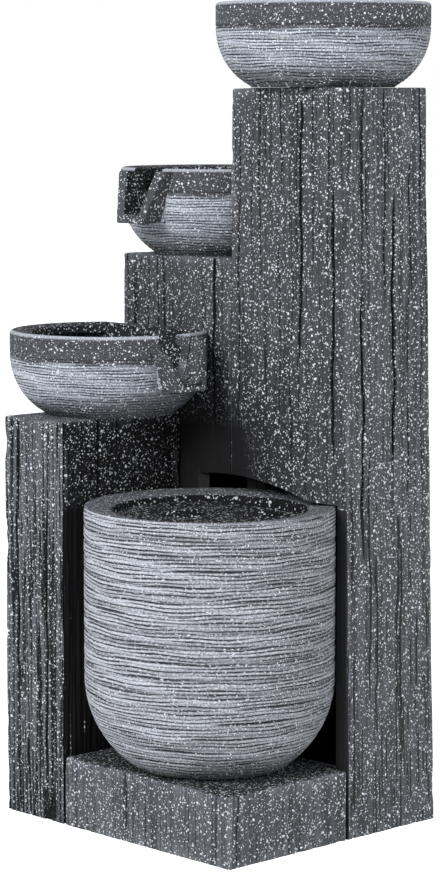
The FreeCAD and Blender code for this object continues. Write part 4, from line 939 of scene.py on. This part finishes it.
# Black: the inside of the shells, and painted shade in the pot's pocket and on the strip beside the pot.
hollow_and_painted_shade_black = plain("hollow_and_painted_shade_black", shade(BLACK_PAINT_AND_SHADE, 0.6), BLACK_PAINT_AND_SHADE, 0.85)
tray_speckle = speckled("tray_speckle", BLACK_PAINT_AND_SHADE, ((0.0033, 0.85, 0.50), (0.0070, 0.5, 0.40)), 0.9)
spout_speckle = speckled("spout_speckle")
# Darker copy of the stone: painted shade in the spouts' channels; darker in the bowls' basins and on the
# plinth's top.
dark_and_painted_shade_speckle = speckled("dark_and_painted_shade_speckle", shade(CHARCOAL, 0.30))
# Painted shade in the niche: sparse flecks on black, all black beside the pot.
niche_painted_shade_speckle = speckled("niche_painted_shade_speckle", BLACK_PAINT_AND_SHADE, ((0.0025, 0.90, 0.48), (0.0060, 0.30, 0.36)),
                         shown=out_of_shade_above_pot)
tall = column("tall_column", COLUMN_GRAIN, cracks_of("tall_column"), TALL_LEAN)
middle = column("middle_column", COLUMN_GRAIN, cracks_of("middle_column"))
short = column("short_column", SHORT_GRAIN, cracks_of("short_column"))
plinth = column("plinth_block", COLUMN_GRAIN, cracks_of("plinth_block"))
for piece in (tall, middle):
    combine(piece, pot_pocket(), "DIFFERENCE")
combine(middle, hatch_opening(), "DIFFERENCE")
# Tall and middle columns: the lighter copy all over, the darker one on the faces toward the lamp, and black
# inside the shells, in the pocket and beside the pot, the last two as painted shade.
for piece, node in ((tall, "tall_column"), (middle, "middle_column")):
    dress(piece, node, "column_stone", (painted_light_speckle, anywhere), (painted_shade_speckle, faces_left),
          (hollow_and_painted_shade_black, inside_shell(node)), (hollow_and_painted_shade_black, in_pocket))
# Short column and plinth: the lighter copy all over, a still lighter one on their left faces, the niche's
# painted shade on the short column's face toward the pot, and a darker plinth top.
dress(short, "short_column", "column_stone", (painted_light_speckle, anywhere), (left_painted_light_speckle, faces_left),
      (niche_painted_shade_speckle, lambda face: face.normal.y < -0.5 and face.calc_center_median().x > NICHE_SHADE_EDGE))
dress(plinth, "plinth_block", "column_stone", (painted_light_speckle, anywhere), (left_painted_light_speckle, faces_left),
      (dark_and_painted_shade_speckle, lambda face: face.normal.z > 0.9))
for node in BOWLS:
    dress_bowl(node)
low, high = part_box("reservoir_pot")
# The pot: painted lighter towards the lamp, with a painted contact shadow at the foot; high.z + 1 keeps the
# band and the rim's painted highlight off it.
pot_stone = brushed_with_painted_light("pot_stone", POT_DARK, POT_PALE, low.z + 0.002, high.z + 1, high.z + 1, (0.03, 0.19),
                    POT_CENTRE, (0.0034, 0.5, 0.38))
dress(pot(), "reservoir_pot", "pot_stone", (pot_stone, anywhere),
      (rim_painted_light_speckle, lambda face: face.normal.z > 0.5), (tray_speckle, in_pot))

# Finishes of the CAD parts by slot; the stone slots take the lighter copy of the speckled stone, which is
# painted light.
SLOT_FINISHES = {
    "column_stone": painted_light_speckle,
    "bowl_stone": painted_light_speckle,
    "pot_stone": painted_light_speckle,
    "tray_stone": tray_speckle,
    "black_plastic": plain("black_plastic", (0.016, 0.016, 0.018), (0.035, 0.035, 0.038), 0.55),
    "grey_plastic": plain("grey_plastic", (0.11, 0.115, 0.12), (0.16, 0.165, 0.17), 0.5),
    "door_plastic": plain("door_plastic", (0.045, 0.048, 0.055), (0.075, 0.08, 0.09), 0.65),
    "rubber": plain("rubber", (0.015, 0.015, 0.016), (0.035, 0.035, 0.036), 0.75),
    "hose_rubber": plain("hose_rubber", (0.022, 0.022, 0.024), (0.04, 0.04, 0.042), 0.5),
    "zinc_steel": plain("zinc_steel", (0.5, 0.51, 0.52), (0.38, 0.38, 0.38), 0.38, 1.0),
    "stainless": plain("stainless", (0.58, 0.58, 0.59), (0.46, 0.46, 0.47), 0.3, 1.0),
    "ferrite": plain("ferrite", (0.03, 0.03, 0.032), (0.05, 0.05, 0.052), 0.6),
    "laminations": plain("laminations", (0.28, 0.28, 0.29), (0.2, 0.17, 0.14), 0.5, 1.0),
    "copper_wire": plain("copper_wire", (0.6, 0.26, 0.1), (0.45, 0.18, 0.07), 0.4, 1.0),
    "impeller_plastic": plain("impeller_plastic", (0.6, 0.61, 0.62), (0.5, 0.51, 0.52), 0.45),
}
for entry in frame["record"]["subparts"]:
    mesh = frame["nodes"][entry["node"]].data
    mesh.materials.clear()
    mesh.materials.append(SLOT_FINISHES[entry["material_slot"]])


# Studio

FLOOR_GLOW = 0.80
ROOM_LIGHT = 0.38
CAMERA_PLACE = (-2.4249, -2.5417, 0.890)
CAMERA_WAY = (0.6904, 0.7234)
CAMERA_PITCH = math.radians(6.76)
CAMERA_LENS = 119.0


def studio_floor():
    """A pale floor that looks white to the camera."""
    fresh()
    bpy.ops.mesh.primitive_plane_add(size=30, location=(0, 0, cad_low.z))
    floor = named("studio_floor")
    finish = Finish("studio_floor", Roughness=0.9, Base_Color=(0.85, 0.85, 0.85, 1),
                    Emission_Color=(1, 1, 1, 1))
    seen = finish.node("ShaderNodeLightPath").outputs["Is Camera Ray"]
    finish.feed("Emission Strength", finish.times(seen, FLOOR_GLOW))
    floor.data.materials.append(finish.material)


def studio_world():
    """White to the camera and to reflections, and a softer light on the object."""
    world = bpy.data.worlds.new("studio")
    bpy.context.scene.world = world
    world.use_nodes = True
    tree = world.node_tree
    ground = tree.nodes["Background"]
    ground.inputs["Color"].default_value = (1, 1, 1, 1)
    path = tree.nodes.new("ShaderNodeLightPath")
    seen = path.outputs["Is Camera Ray"]
    for ray in ("Is Glossy Ray", "Is Transmission Ray"):
        either = tree.nodes.new("ShaderNodeMath")
        either.operation = "MAXIMUM"
        tree.links.new(seen, either.inputs[0])
        tree.links.new(path.outputs[ray], either.inputs[1])
        seen = either.outputs[0]
    strength = tree.nodes.new("ShaderNodeMapRange")
    strength.inputs["To Min"].default_value = ROOM_LIGHT
    tree.links.new(seen, strength.inputs["Value"])
    tree.links.new(strength.outputs[0], ground.inputs["Strength"])


def lamp(name, spot, size, power):
    light = bpy.data.lights.new(name, "AREA")
    light.size = size
    light.energy = power
    lamp_object = bpy.data.objects.new(name, light)
    lamp_object.location = spot
    lamp_object.rotation_euler = (Vector((0, 0, 0.5)) - Vector(spot)).to_track_quat("-Z", "Y").to_euler()
    bpy.context.scene.collection.objects.link(lamp_object)


def camera():
    """The view of the photo."""
    eye = bpy.data.cameras.new("photo_view")
    eye.lens = CAMERA_LENS
    eye.sensor_width = 36
    view = bpy.data.objects.new("photo_view", eye)
    view.location = CAMERA_PLACE
    level = math.cos(CAMERA_PITCH)
    ahead = Vector((CAMERA_WAY[0] * level, CAMERA_WAY[1] * level, -math.sin(CAMERA_PITCH)))
    view.rotation_euler = ahead.to_track_quat("-Z", "Y").to_euler()
    bpy.context.scene.collection.objects.link(view)
    bpy.context.scene.camera = view


studio_floor()
studio_world()
lamp("key_light", (-3.4, -0.6, 2.6), 1.6, 135)
lamp("fill_light", (1.0, -3.6, 1.1), 2.2, 62)
camera()
bpy.context.scene.view_settings.view_transform = "Standard"
